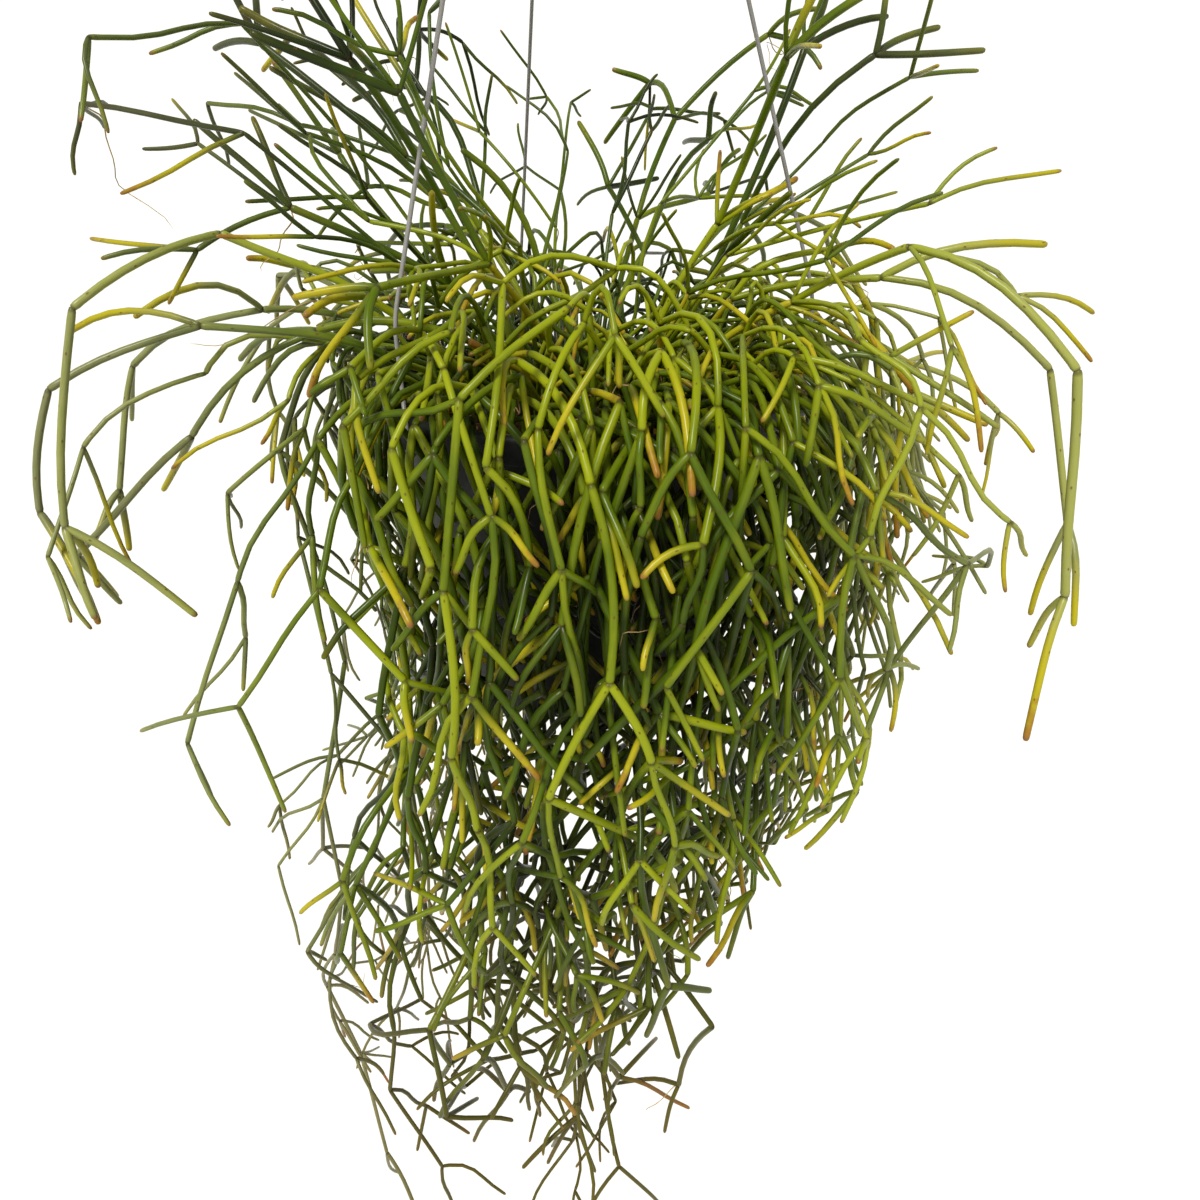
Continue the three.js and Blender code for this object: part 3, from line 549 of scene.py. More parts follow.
CROSSING_DROOPS = (0.8, 1.5)
OVER_THE_RIM = 82
CURTAIN_PULL = 1 / 40
SLANT = 0.2
DRIFT = 0.65
DRIFT_PHASES = 7
DRIFT_TURN = 1.1
CROWDING = 1.15
CROWDING_TURN = 12
SHORT_SIDE = 0.65
FOLLOWING = 0.6
FRONT_SINE = -0.62
TO_THE_LEFT = 0.45
SIDE_AZIMUTHS = (195, 345)
SIDE_SPREAD = 1.3
FIRST_ANGLES = (8, 50)
LEADER_ANGLES = (5, 44)
FORK_ANGLES = (28, 62)
SIBLING_COSINE = 0.83
SWAY = 0.8
TIP_DROOP = 0.22
TRIES_CHANCE = 0.5
PULL_OF_LEADER, PULL_OF_SIDE, PULL_OF_TIP = 0.55, 0.25, 0.2
TWO_TIPS_SHARE = 2 / 3
SAG_LENGTH = 40
RIM_DROP = -0.1
FOOT_IN_SOIL = 4
FRAME_ROOM = 2000
# A habit has the number of rooted stems, how many segments lead each on, and the lengths of leading, side
# and tip segments. Sides is how many side segments a joint has on average, side_forks the chance that one
# forks again, and droop how much a segment of the sag length sags. A rising habit also has how much its
# stems lean out and rise, and how much of the rise each joint takes away.
HABITS = {
    "upright": {"count": 12, "leaders": (2, 3), "leader": (46, 76), "side": (28, 50), "tip": (18, 38),
                "sides": 0.85, "side_forks": 0.45, "droop": 0.16, "radius": 1.1,
                "lean": 0.8, "lift": 1.1, "lift_loss": 0.25},
    "arching": {"count": 11, "leaders": (3, 5), "leader": (40, 62), "side": (28, 50), "tip": (20, 44),
                "sides": 0.8, "side_forks": 0.4, "droop": 0.5, "radius": 1.25,
                "lean": 1, "lift": 0.75, "lift_loss": 0.5},
    "trailing": {"count": 28, "leaders": (4, 11), "leader": (40, 64), "side": (30, 52), "tip": (22, 48),
                 "sides": 0.4, "side_forks": 0.3, "droop": 0.45, "radius": 1.2},
}


# %% Seeded draws, and small vectors
WORD = 0xFFFFFFFF


def draws_from(seed):
    """Draws between 0 and 1 from a 32-bit count, whose bits are stirred by multiplying and shifting."""
    state = seed

    def draw():
        """The next draw."""
        nonlocal state
        state = (state + 0x6D2B79F5) & WORD
        stirred = ((state ^ (state >> 15)) * (state | 1)) & WORD
        stirred ^= (stirred + (((stirred ^ (stirred >> 7)) * (stirred | 61)) & WORD)) & WORD
        return (stirred ^ (stirred >> 14)) / (WORD + 1)

    return draw


draw = draws_from(SEED)


def between(limits):
    """A draw between two limits."""
    return limits[0] + (limits[1] - limits[0]) * draw()


def dot(u, v):
    """Dot product of two plain vectors."""
    return u[0] * v[0] + u[1] * v[1] + u[2] * v[2]


def cross(u, v):
    """Cross product of two plain vectors."""
    return (u[1] * v[2] - u[2] * v[1], u[2] * v[0] - u[0] * v[2], u[0] * v[1] - u[1] * v[0])


def unit(v):
    """A plain vector's direction."""
    size = math.sqrt(dot(v, v))
    return (v[0] / size, v[1] / size, v[2] / size)


def columns(rows, *keys):
    """What rows say for each of some keys, as an array for each key."""
    return [np.array([row[key] for row in rows], float) for key in keys]


def segments_of(shoots):
    """All the segments of some shoots."""
    return [segment for shoot in shoots for segment in shoot["segments"]]


def forked(direction, angle, turn):
    """A direction that forks off another by an angle, turned round it."""
    side = unit(cross(direction, (0, 0, 1) if abs(direction[2]) < 0.9 else (1, 0, 0)))
    other = cross(direction, side)
    across = [side[i] * math.cos(turn) + other[i] * math.sin(turn) for i in range(3)]
    return tuple(direction[i] * math.cos(angle) + across[i] * math.sin(angle) for i in range(3))


def bend(direction, size, droop):
    """The direction in which a segment ends: swayed a little, and sagging with its length."""
    sway = (draw() - 0.5, draw() - 0.5, draw() - 0.5)
    sag = droop * size / SAG_LENGTH
    return unit((direction[0] + sway[0] * SWAY, direction[1] + sway[1] * SWAY,
                 direction[2] + sway[2] * SWAY - sag))


# %% [markdown]
# ## Keeping clear
#
# All the stems so far are kept as straight pieces, in arrays. Whether a new segment touches them could be
# asked of Blender's own trees of faces, but nothing has faces yet, and the frame's growth has to be
# repeated to the last digit. So the test works on all of a segment's tries and all the pieces near it at
# once: the shortest distance between two straight lines has a formula, and numpy puts whole tables through
# it. Segments that meet at a joint may touch.

# %% Straight pieces that new stems keep clear of
def level(table, height, column=1):
    """A table's value at a height: straight between its rows, which go from the top down."""
    return np.interp(height, table[::-1, 0], table[::-1, column])


def clear_of_pot(points, radius):
    """Whether points are outside the pot's wall and rim, or inside it above the soil."""
    away = np.sqrt(points[..., 0] ** 2 + points[..., 1] ** 2)
    height = points[..., 2]
    margin = radius + POT_CLEARANCE
    widest = np.where(height < -RIM_DEPTH - margin, wall_radius(height), RIM_RADIUS)
    beside = (height > margin) | (height < -POT_HEIGHT - margin) | (away > widest + margin)
    inside = (away < SHOULDER_RADIUS - WALL - margin - 1) & (height > SOIL_TOP + SOIL_DOME + margin)
    return beside | inside


def distance2(p1, q1, p2, q2):
    """Squared distance between straight pieces p1-q1 and p2-q2: the nearest points of the two endless
    lines, moved back to the ends of the pieces where they lie beyond them."""
    u, v, w = q1 - p1, q2 - p2, p1 - p2
    a, b, c = (u * u).sum(-1), (u * v).sum(-1), (u * w).sum(-1)
    e, f = (v * v).sum(-1), (v * w).sum(-1)
    s = ((b * f - c * e) / (a * e - b * b + 1e-9)).clip(0, 1)
    t = ((b * s + f) / e).clip(0, 1)
    s = ((b * t - c) / a).clip(0, 1)
    gap = w + s[..., None] * u - t[..., None] * v
    return (gap * gap).sum(-1)


def pieces_of(start, control, end, rings):
    """The straight pieces of arcs, as the frame's tubes have them: one, or two that meet mid-arc."""
    if rings == 1:
        return start[:, None], end[:, None]
    first = start + (control - start) * 0.5
    second = control + (end - control) * 0.5
    middle = first + (second - first) * 0.5
    return np.stack([start, middle], 1), np.stack([middle, end], 1)


# %% The thicket of pieces, and what may grow in it
class Thicket:
    """The straight pieces grown so far, with their radii and the joints at their segments' two ends. It
    also holds two limits of what may grow: the lowest height, and how far right stems may hang, a table
    that is read lower down for a place in front, by its distance times the slant."""

    def __init__(self, room, lowest, right, right_slant):
        self.lowest = lowest
        self.right = right
        self.right_slant = right_slant
        self.ends = np.zeros((room, 2, 3))
        self.radius = np.zeros(room)
        self.joints = np.full((room, 2), -1)
        self.count = 0

    def add(self, start, end, radius, start_joint=-1, end_joint=-1):
        """Adds one straight piece."""
        self.ends[self.count] = start, end
        self.radius[self.count] = radius
        self.joints[self.count] = start_joint, end_joint
        self.count += 1

    def add_segment(self, segment, radius, rings):
        """Adds a segment's arc as straight pieces."""
        starts, ends = pieces_of(*columns([segment], "start", "control", "end"), rings)
        for start, end in zip(starts[0], ends[0]):
            self.add(start, end, radius, segment["from_joint"], segment["to_joint"])

    def within_reach(self, points, loose):
        """Whether points are inside the plant's whole outline, and those of a hanging stem between its left
        and right limits. Loose is None for a rising stem, and else how far left it may keep from the pot."""
        x, y, height = points[..., 0], points[..., 1], points[..., 2]
        limits = (height <= TOP_LIMIT) & (height >= self.lowest)
        limits &= np.sqrt(x ** 2 + y ** 2) < level(REACH, height)
        limits &= y > -level(FRONT, height)
        if loose is None:
            return limits
        limits &= x < level(self.right, height + self.right_slant * y)
        leftmost = level(LEFT, height) + LOOSE_REACH * loose
        return limits & (x + LEFT_SLANT * y > -leftmost)

    def free(self, starts, ends, radius, joint, clearance, loose):
        """Which tries, each of one or two pieces, keep clear of everything: arrays [try, piece, 3]."""
        share = (np.arange(POT_SAMPLES) + 1)[:, None] / POT_SAMPLES
        samples = starts[:, :, None] + (ends - starts)[:, :, None] * share
        good = (self.within_reach(samples, loose) & clear_of_pot(samples, radius)).all((1, 2))
        low = np.minimum(starts, ends).min((0, 1)) - radius - clearance
        high = np.maximum(starts, ends).max((0, 1)) + radius + clearance
        pieces = self.ends[:self.count]
        edge = self.radius[:self.count, None]
        near = (pieces.min(1) - edge < high).all(1) & (pieces.max(1) + edge > low).all(1)
        near &= (self.joints[:self.count] != joint).all(1)
        others = pieces[near]
        if len(others) == 0 or not good.any():
            return good
        room = radius + self.radius[:self.count][near] + clearance
        other_starts, other_ends = others[None, None, :, 0], others[None, None, :, 1]
        gap2 = distance2(starts[:, :, None], ends[:, :, None], other_starts, other_ends)
        return good & (gap2 >= room * room).all((1, 2))


# %% [markdown]
# ## Growing one joint at a time
#
# A leader is the row of segments that carries a stem on. At each joint it may put out side segments,
# which may fork again, and where it ends it forks into a few short tips. Stems could be grown one after
# another, but the first ones would take the room of the others, so all take turns, one joint each.

# %% Segments, and where a stem would like to go
joint_numbers = itertools.count()


def segment_of(start, heading, final, size):
    """A quadratic arc that leaves its start along one direction and arrives along another."""
    control = tuple(start[i] + heading[i] * size / 2 for i in range(3))
    end = tuple(control[i] + final[i] * size / 2 for i in range(3))
    return {"start": start, "control": control, "end": end, "heading": heading, "final": final}


def looseness(shoot):
    """How loosely a hanging stem keeps to the curtain's left side, from 0 to 1. None for a rising one."""
    return None if "lift" in shoot["habit"] else max(0, shoot["curtain"]) ** LOOSE_POWER


def wanted_direction(shoot, point, generation):
    """A rising stem leans out and rises less at each joint. A trailing one crosses the pot's rim, and
    then hangs at a distance of its own from the pot's axis."""
    habit = shoot["habit"]
    outward = (math.cos(shoot["azimuth"]), math.sin(shoot["azimuth"]))
    if "lift" in habit:
        rise = habit["lift"] - habit["lift_loss"] * generation
        return unit((outward[0] * habit["lean"], outward[1] * habit["lean"], rise))
    away = math.sqrt(point[0] * point[0] + point[1] * point[1])
    if away < OVER_THE_RIM:
        return unit((*outward, CROSSING_LIFT if point[2] < shoot["crossing"] else RIM_DROP))
    near, far = float(level(CURTAIN, point[2], 1)), float(level(CURTAIN, point[2], 2))
    x, y = point[0] - SLANT * min(point[2], 0), point[1]
    from_axis = math.sqrt(x * x + y * y) + 1e-6
    x, y = x / from_axis, y / from_axis
    left_share = float(level(CURTAIN, point[2], 3))
    outer = left_share + (1 - left_share) * (1 + x) / 2
    share = shoot["curtain"] * outer + looseness(shoot) * (1 - outer)
    pull = (near + (far - near) * share - from_axis) * CURTAIN_PULL
    drift = DRIFT * math.sin(2 * math.pi * shoot["curtain"] * DRIFT_PHASES + generation * DRIFT_TURN)
    return unit((x * pull - y * drift, y * pull + x * drift, -1))


def facing(place, hanging):
    """The way that a rooted stem at a place faces: a hanging one is turned towards the plant's densest
    side, which is a little right of its front, and a rising one away from the front."""
    azimuth = place + (draw() - 0.5) * ROOT_TURN
    if hanging:
        return azimuth - CROWDING * math.cos(azimuth - math.radians(CROWDING_TURN))
    if math.sin(azimuth) >= FRONT_SINE:
        return azimuth
    side = SIDE_AZIMUTHS[0] if math.cos(azimuth) < TO_THE_LEFT else SIDE_AZIMUTHS[1]
    return math.radians(side) + (draw() - 0.5) * SIDE_SPREAD


def offspring(tip):
    """The segments that a tip puts out: lengths, fork angles, how much they follow the stem's wish, how
    many segments are to follow each, and whether it leads."""
    habit = tip["shoot"]["habit"]
    members = []
    if tip["leading"] and tip["left"] > 0:
        angles = FIRST_ANGLES if tip["generation"] == 0 else LEADER_ANGLES
        members.append((habit["leader"], angles, PULL_OF_LEADER, tip["left"] - 1, True))
        extra = 0 if tip["generation"] == 0 else math.floor(habit["sides"] + draw())
        for _ in range(extra):
            forks = 1 if draw() < habit["side_forks"] else 0
            members.append((habit["side"], FORK_ANGLES, PULL_OF_SIDE, forks, False))
        return members
    if not tip["leading"] and tip["left"] <= 0:
        return members
    for _ in range(2 if draw() < TWO_TIPS_SHARE else 3):
        members.append((habit["tip"], FORK_ANGLES, PULL_OF_TIP, 0, False))
    return members


# %% One joint's growth
def options_for(tip, member, wanted):
    """The tries of one new segment, the best first: heading, final direction and length."""
    sizes, angles, pull, _, leading = member
    droop = tip["shoot"]["habit"]["droop"] + (0 if leading else TIP_DROOP)
    if "lift" not in tip["shoot"]["habit"] and tip["generation"] < len(CROSSING_DROOPS):
        droop = CROSSING_DROOPS[tip["generation"]]
    follow = FOLLOWING if leading else 0
    axis = unit([tip["direction"][i] + follow * wanted[i] for i in range(3)])
    options = []
    for _ in range(TRIES):
        fork = math.radians(between(angles))
        heading = forked(axis, fork, 2 * math.pi * draw())
        size = between(sizes)
        final = bend(heading, size, droop)
        score = pull * (dot(heading, wanted) + dot(final, wanted)) + draw() * TRIES_CHANCE
        options.append((score, heading, final, size))
    return sorted(options, key=lambda option: -option[0])


def first_that_fits(options, tip, taken, rings, thicket, clearance):
    """The first try that is free, at full length or else shorter. None where nothing fits."""
    habit = tip["shoot"]["habit"]
    apart = [option for option in options if all(dot(other, option[1]) <= SIBLING_COSINE for other in taken)]
    for share in SHORTER:
        segments = [segment_of(tip["point"], heading, final, size * share)
                    for _, heading, final, size in apart]
        if not segments:
            return None
        starts, ends = pieces_of(*columns(segments, "start", "control", "end"), rings)
        free = thicket.free(starts, ends, habit["radius"], tip["joint"], clearance, looseness(tip["shoot"]))
        if free.any():
            return segments[int(np.argmax(free))]
    return None


# %% Tips that grow, and new rooted stems
def grow_tip(tip, thicket, clearance, side_rings):
    """One tip puts out its segments, and the tips at their ends are returned."""
    shoot = tip["shoot"]
    wanted = wanted_direction(shoot, tip["point"], tip["generation"])
    taken = list(tip["taken"])
    grown = []
    for member in offspring(tip):
        rings = side_rings if grown or tip["side"] else 2
        options = options_for(tip, member, wanted)
        segment = first_that_fits(options, tip, taken, rings, thicket, clearance)
        if segment:
            taken.append(segment["heading"])
            grown.append((member, segment, rings))
    following = []
    for member, segment, rings in grown:
        end_joint = next(joint_numbers)
        *_, left, leading = member
        segment.update(from_joint=tip["joint"], to_joint=end_joint, generation=tip["generation"])
        thicket.add_segment(segment, shoot["habit"]["radius"], rings)
        shoot["segments"].append(segment)
        following.append({"shoot": shoot, "joint": end_joint, "point": segment["end"], "taken": (),
                          "direction": segment["final"], "generation": tip["generation"] + 1,
                          "left": left, "leading": leading, "side": tip["side"] or rings == side_rings})
    return following


def grown(tips, thicket, clearance, side_rings):
    """The shoots of some tips, after all have grown in turn, joint by joint, until none is left."""
    shoots = [tip["shoot"] for tip in tips]
    while tips:
        tips = [new for tip in tips for new in grow_tip(tip, thicket, clearance, side_rings)]
    return shoots


def plant(kind, number, x, y, azimuth, thicket, habits):
    """A rooted stem: its first segment stands straight up in the soil. Returns its tip."""
    habit = habits[kind]
    start = (x, y, SOIL_TOP - HOLE_DEPTH + GAP)
    end = (x, y, SOIL_TOP + SOIL_DOME + ROOT_RISE)
    joint = next(joint_numbers)
    root = segment_of(start, (0, 0, 1), (0, 0, 1), end[2] - start[2])
    root.update(from_joint=-1, to_joint=joint, generation=-1)
    fewest, most = habit["leaders"]
    share = (number * LEADER_SHARE) % 1 * (1 - SHORT_SIDE * max(0, math.cos(azimuth)))
    left = math.floor(fewest + (most - fewest) * share + 0.5)
    shoot = {"name": f"{kind}_{number:02d}", "kind": kind, "habit": habit, "azimuth": azimuth,
             "curtain": draw(), "crossing": CROSSING_HEIGHT, "segments": [root]}
    thicket.add((x, y, SOIL_TOP - FOOT_IN_SOIL), end, habit["radius"], -1, joint)
    return {"shoot": shoot, "joint": joint, "point": end, "direction": (0, 0, 1), "generation": 0,
            "left": left, "leading": True, "side": False, "taken": ()}


# %% The strands' lines, which stems keep clear of
def ear_point(azimuth, height):
    """A place on the upright line through the hole of the ear on one side."""
    angle = math.radians(azimuth)
    return np.array((EAR_CIRCLE * math.cos(angle), EAR_CIRCLE * math.sin(angle), height))


def strand_line(azimuth):
    """A strand rises straight from its ear, bends, and runs to its hole in the hub."""
    angle = math.radians(azimuth)
    corner = ear_point(azimuth, STRAND_BEND_HEIGHT)
    hole = np.array((HUB_HOLE_CIRCLE * math.cos(angle), HUB_HOLE_CIRCLE * math.sin(angle),
                     HUB_TOP - HUB_THICKNESS / 2))
    slant = (hole - corner) / np.linalg.norm(hole - corner)
    foot = ear_point(azimuth, -EAR_HEIGHT - EAR_DROP - KNOB_LENGTH)
    top = hole + slant * (HUB_THICKNESS / 2 + KNOB_LENGTH)
    return {"foot": foot, "corner": corner, "hole": hole, "slant": slant, "top": top}


def add_strands(thicket):
    """Adds the strands as thick as their knobs, and the ears, to what stems keep clear of."""
    for azimuth in STRAND_AZIMUTHS.values():
        line = strand_line(azimuth)
        thicket.add(line["foot"], line["corner"], KNOB_RADIUS)
        thicket.add(line["corner"], line["top"], KNOB_RADIUS)
        thicket.add(ear_point(azimuth, -EAR_HEIGHT), ear_point(azimuth, -2 * EAR_DROP), EAR_ROOM)


# %% Grow the frame's fifty-one stems
def grow_frame_stems():
    """Rooted stems stand in a spiral over the soil, the upright ones in its middle, the trailing ones
    outermost. Trailing ones crowd at the front, and the others turn away from it."""
    thicket = Thicket(FRAME_ROOM, BOTTOM_LIMIT, RIGHT, 0)
    add_strands(thicket)
    total = sum(habit["count"] for habit in HABITS.values())
    tips = []
    for kind, habit in HABITS.items():
        for number in range(1, habit["count"] + 1):
            away = ROOT_CIRCLE * math.sqrt((len(tips) + FIRST_ROOT) / total)
            place = len(tips) * GOLDEN_ANGLE
            azimuth = facing(place, kind == "trailing")
            x, y = away * math.cos(place), away * math.sin(place)
            tips.append(plant(kind, number, x, y, azimuth, thicket, HABITS))
    return grown(tips, thicket, STEM_CLEARANCE, 1)


frame_shoots = grow_frame_stems()
print(len(segments_of(frame_shoots)), "segments in", len(frame_shoots), "rooted stems")

# %% [markdown]
# ## The growth in between
#
# The real bush is far denser than its frame. It could be thickened with copies of the frame's stems, but
# they would cut through each other. So the missing stems grow here by the same rules, only closer
# together: more rooted stems between the frame's own, and sprays of side stems at the joints that the
# frame left bare. They draw from a seed of their own, and hang within a right limit of their own, which
# gives the curtain its slanting edge.

# %% More rooted stems
FILL_SEED = 27
FILL_ROOM = 16000
FILL_CLEARANCE = 0.25
FILL_CIRCLE = 64
BELOW_FRAME = 8
FILL_RIGHT = np.array([[0, 170], [-110, 140], [-217, 100], [-280, 60], [-350, 20], [-430, 14],
                       [-500, 10]], float)
FILL_RIGHT_SLANT = 1.2
FILL_HABITS = {
    "plume": {"count": 12, "leaders": (2, 3), "leader": (44, 76), "side": (26, 48), "tip": (18, 38),
              "sides": 1.1, "side_forks": 0.5, "droop": 0.16, "radius": 1.0,
              "lean": 0.9, "lift": 1.0, "lift_loss": 0.25},
    "crown": {"count": 8, "leaders": (1, 2), "leader": (30, 50), "side": (22, 38), "tip": (16, 32),
              "sides": 0.9, "side_forks": 0.3, "droop": 0.7, "radius": 1.2,
              "lean": 1, "lift": 0.15, "lift_loss": 0.4},
    "skirt": {"count": 190, "leaders": (2, 9), "leader": (34, 60), "side": (28, 50), "tip": (20, 46),
              "sides": 0.9, "side_forks": 0.45, "droop": 0.45, "radius": 1.1},
}
CROSSING_RANGE = (2, 13)
FREE_MIDDLE = 8
ROOT_GAP = 4.2
ROOT_TRIES = 200
TRY_TURN = 0.7
TRY_OUTWARDS = 0.12


def fine_thicket():
    """The frame's stems again as obstacles, each arc as two pieces, with room for the rest, which ends
    where the frame's stems do."""
    lowest = min(segment["end"][2] for segment in segments_of(frame_shoots))
    thicket = Thicket(FILL_ROOM, lowest - BELOW_FRAME, FILL_RIGHT, FILL_RIGHT_SLANT)
    add_strands(thicket)
    for shoot in frame_shoots:
        for segment in shoot["segments"]:
            thicket.add_segment(segment, shoot["habit"]["radius"], 2)
    return thicket


def free_root(place, away, roots):
    """The first place outwards and round from a start that keeps its distance from the other roots."""
    for step in range(ROOT_TRIES):
        angle = place + step * TRY_TURN
        radius = min(away + step * TRY_OUTWARDS, FILL_CIRCLE)
        spot = np.array((radius * math.cos(angle), radius * math.sin(angle)))
        if (((roots - spot) ** 2).sum(1) > ROOT_GAP ** 2).all():
            return spot
    return None


def plant_fill(thicket):
    """Rooted stems between the frame's: plumes in the middle, the crown's round them, and the skirt's from
    there to the rim."""
    roots = [shoot["segments"][0]["start"][:2] for shoot in frame_shoots]
    tips = []
    total = sum(habit["count"] for habit in FILL_HABITS.values())
    for kind, habit in FILL_HABITS.items():
        for number in range(1, habit["count"] + 1):
            index = len(tips)
            away = FILL_CIRCLE * math.sqrt((index + FREE_MIDDLE) / (total + FREE_MIDDLE))
            place = (index + 0.5) * GOLDEN_ANGLE
            spot = free_root(place, away, np.array(roots))
            azimuth = facing(place, kind != "plume")
            if spot is None:
                continue
            roots.append(tuple(spot))
            tip = plant(kind, number, spot[0], spot[1], azimuth, thicket, FILL_HABITS)
            tip["shoot"]["crossing"] = between(CROSSING_RANGE)
            tips.append(tip)
    return tips


# %% Sprays of side stems at bare joints
SPRAY = {"leader": (30, 52), "side": (24, 44), "tip": (18, 40), "sides": 0.6, "side_forks": 0.4,
         "radius": 1.05}
SPRAY_LEADERS = 3.4
SPRAY_OUTWARDS = 0.6
SPRAY_SHARE = {"upright": 1.0, "arching": 0.1, "trailing": 0.9, "skirt": 0.75}
CORE_AZIMUTH = -95
CORE_COSINE = 0.6
CORE_HEIGHTS = (-190, 8)


def in_core(point):
    """Whether a point is in the plant's densest part, round the front of the pot and below it."""
    azimuth = math.radians(CORE_AZIMUTH)
    toward = (point[0] * math.cos(azimuth) + point[1] * math.sin(azimuth)) / math.hypot(point[0], point[1])
    return toward > CORE_COSINE and CORE_HEIGHTS[0] < point[2] < CORE_HEIGHTS[1]


def spray_tips(shoots):
    """Tips for side stems at the joints of grown stems, beside the segments that are there already. Those
    of the skirt grow in the core alone."""
    tips = []
    for shoot in shoots:
        headings = {}
        for segment in shoot["segments"]:
            headings.setdefault(segment["from_joint"], []).append(segment["heading"])
        habit = {**shoot["habit"], **SPRAY}
        for segment in shoot["segments"][1:]:
            taken = headings.get(segment["to_joint"], [])
            if not 1 <= len(taken) <= 2 or draw() > SPRAY_SHARE.get(shoot["kind"], 0):
                continue
            if shoot["kind"] == "skirt" and not in_core(segment["end"]):
                continue
            spray = {"name": shoot["name"], "kind": shoot["kind"], "habit": habit, "segments": []}
            spray["azimuth"] = shoot["azimuth"] + (draw() - 0.5)
            spray["crossing"] = CROSSING_HEIGHT
            spray["curtain"] = shoot["curtain"] + (draw() - 0.3) * SPRAY_OUTWARDS
            left = math.floor(draw() * SPRAY_LEADERS)
            tips.append({"shoot": spray, "joint": segment["to_joint"], "point": segment["end"],
                         "direction": segment["final"], "generation": segment["generation"] + 1,
                         "left": left, "leading": True, "side": True, "taken": tuple(taken)})
    return tips


# %% Grow what is in between
draw = draws_from(FILL_SEED)
thicket = fine_thicket()
fill_shoots = grown(plant_fill(thicket), thicket, FILL_CLEARANCE, 2)
spray_shoots = grown(spray_tips(frame_shoots), thicket, FILL_CLEARANCE, 2)
spray_shoots += grown(spray_tips(fill_shoots), thicket, FILL_CLEARANCE, 2)
for label, shoots in (("more rooted stems", fill_shoots), ("sprays", spray_shoots)):
    print(len(segments_of(shoots)), "segments in", len(shoots), label)

# %% [markdown]
# ## From lines to stems
#
# Each segment is one closed tube round its arc. An arc lies in a plane, so the plane's normal gives
# every ring its first direction and the rings never twist. The tube starts narrow inside the joint that
# it grows from, and ends in a swollen joint, or in a blunt round tip where nothing follows. A skin with
# joined forks would be the other way, but real joints are just such constrictions.

# %% Meshes from arrays
def make_mesh(name, vertices, faces, material, corners=None, attributes=None, smooth=True):
    """A mesh object. Vertices are in millimetres round the rim. Faces is a list of index tables, one
    for each number of corners; corners is the UV of every corner, in the faces' order; attributes are
    three numbers for each vertex."""
    mesh = bpy.data.meshes.new(name)
    loops = np.concatenate([table.ravel() for table in faces])
    sizes = np.concatenate([np.full(len(table), table.shape[1]) for table in faces])
    mesh.vertices.add(len(vertices))
    mesh.vertices.foreach_set("co", to_frame(vertices).astype(np.float32).ravel())
    mesh.loops.add(len(loops))
    mesh.loops.foreach_set("vertex_index", loops.astype(np.int32))
    mesh.polygons.add(len(sizes))
    mesh.polygons.foreach_set("loop_start", (np.cumsum(sizes) - sizes).astype(np.int32))
    mesh.polygons.foreach_set("use_smooth", np.full(len(sizes), smooth))
    if corners is not None:
        layer = mesh.uv_layers.new(name="skin")
        layer.uv.foreach_set("vector", np.asarray(corners, np.float32).ravel())
    for key, values in (attributes or {}).items():
        layer = mesh.attributes.new(key, "FLOAT_VECTOR", "POINT")
        layer.data.foreach_set("vector", np.asarray(values, np.float32).ravel())
    mesh.update(calc_edges=True)
    mesh.validate()
    piece = bpy.data.objects.new(name, mesh)
    bpy.context.scene.collection.objects.link(piece)
    mesh.materials.append(material)
    return piece


def tube_faces(count, rings, sides):
    """Faces of closed tubes whose vertices are [first pole, rings x sides, last pole], for many tubes of
    the same build: triangles at the poles and quads between the rings. Also, for both kinds of face, each
    corner's share of the way round and its station."""
    side = np.arange(sides)
    after = (side + 1) % sides
    last_ring, last_pole = 1 + (rings - 1) * sides, 1 + rings * sides
    start_cap = np.stack([0 * side, 1 + after, 1 + side], 1)
    end_cap = np.stack([0 * side + last_pole, last_ring + side, last_ring + after], 1)
    low = 1 + np.arange(rings - 1)[:, None] * sides
    quads = np.stack([low + side, low + after, low + sides + after, low + sides + side], -1).reshape(-1, 4)
    shift = (np.arange(count) * (last_pole + 1))[:, None, None]
    caps = np.concatenate([start_cap, end_cap])
    faces = [(table + shift).reshape(-1, table.shape[1]) for table in (caps, quads)]
    start_round = np.stack([side + 0.5, side + 1, side], 1)
    end_round = np.stack([side + 0.5, side, side + 1], 1)
    cap_station = np.repeat([[0, 1, 1], [rings + 1, rings, rings]], sides, 0)
    quad_round = np.tile(np.stack([side, side + 1, side + 1, side], 1), (rings - 1, 1))
    quad_station = np.repeat(np.arange(1, rings)[:, None] + (0, 0, 1, 1), sides, 0)
    cap_round = np.concatenate([start_round, end_round])
    return faces, (cap_round / sides, cap_station), (quad_round / sides, quad_station)


# %% The profile of a segment
# Each station's distance from the base, or to the end, and its share of the stem's radius
BASE_STATIONS = ((0.0, 0.76), (0.9, 0.93), (2.6, 1.0))
JOINT_STATIONS = ((2.8, 1.0), (1.2, 1.05), (0.15, 0.86))
TIP_STATIONS = ((2.0, 0.87), (0.8, 0.8), (0.15, 0.5))
TIP_TAPER = 0.11
SWELL = 0.03
BASE_POLE = -0.6
JOINT_POLE = 0.5


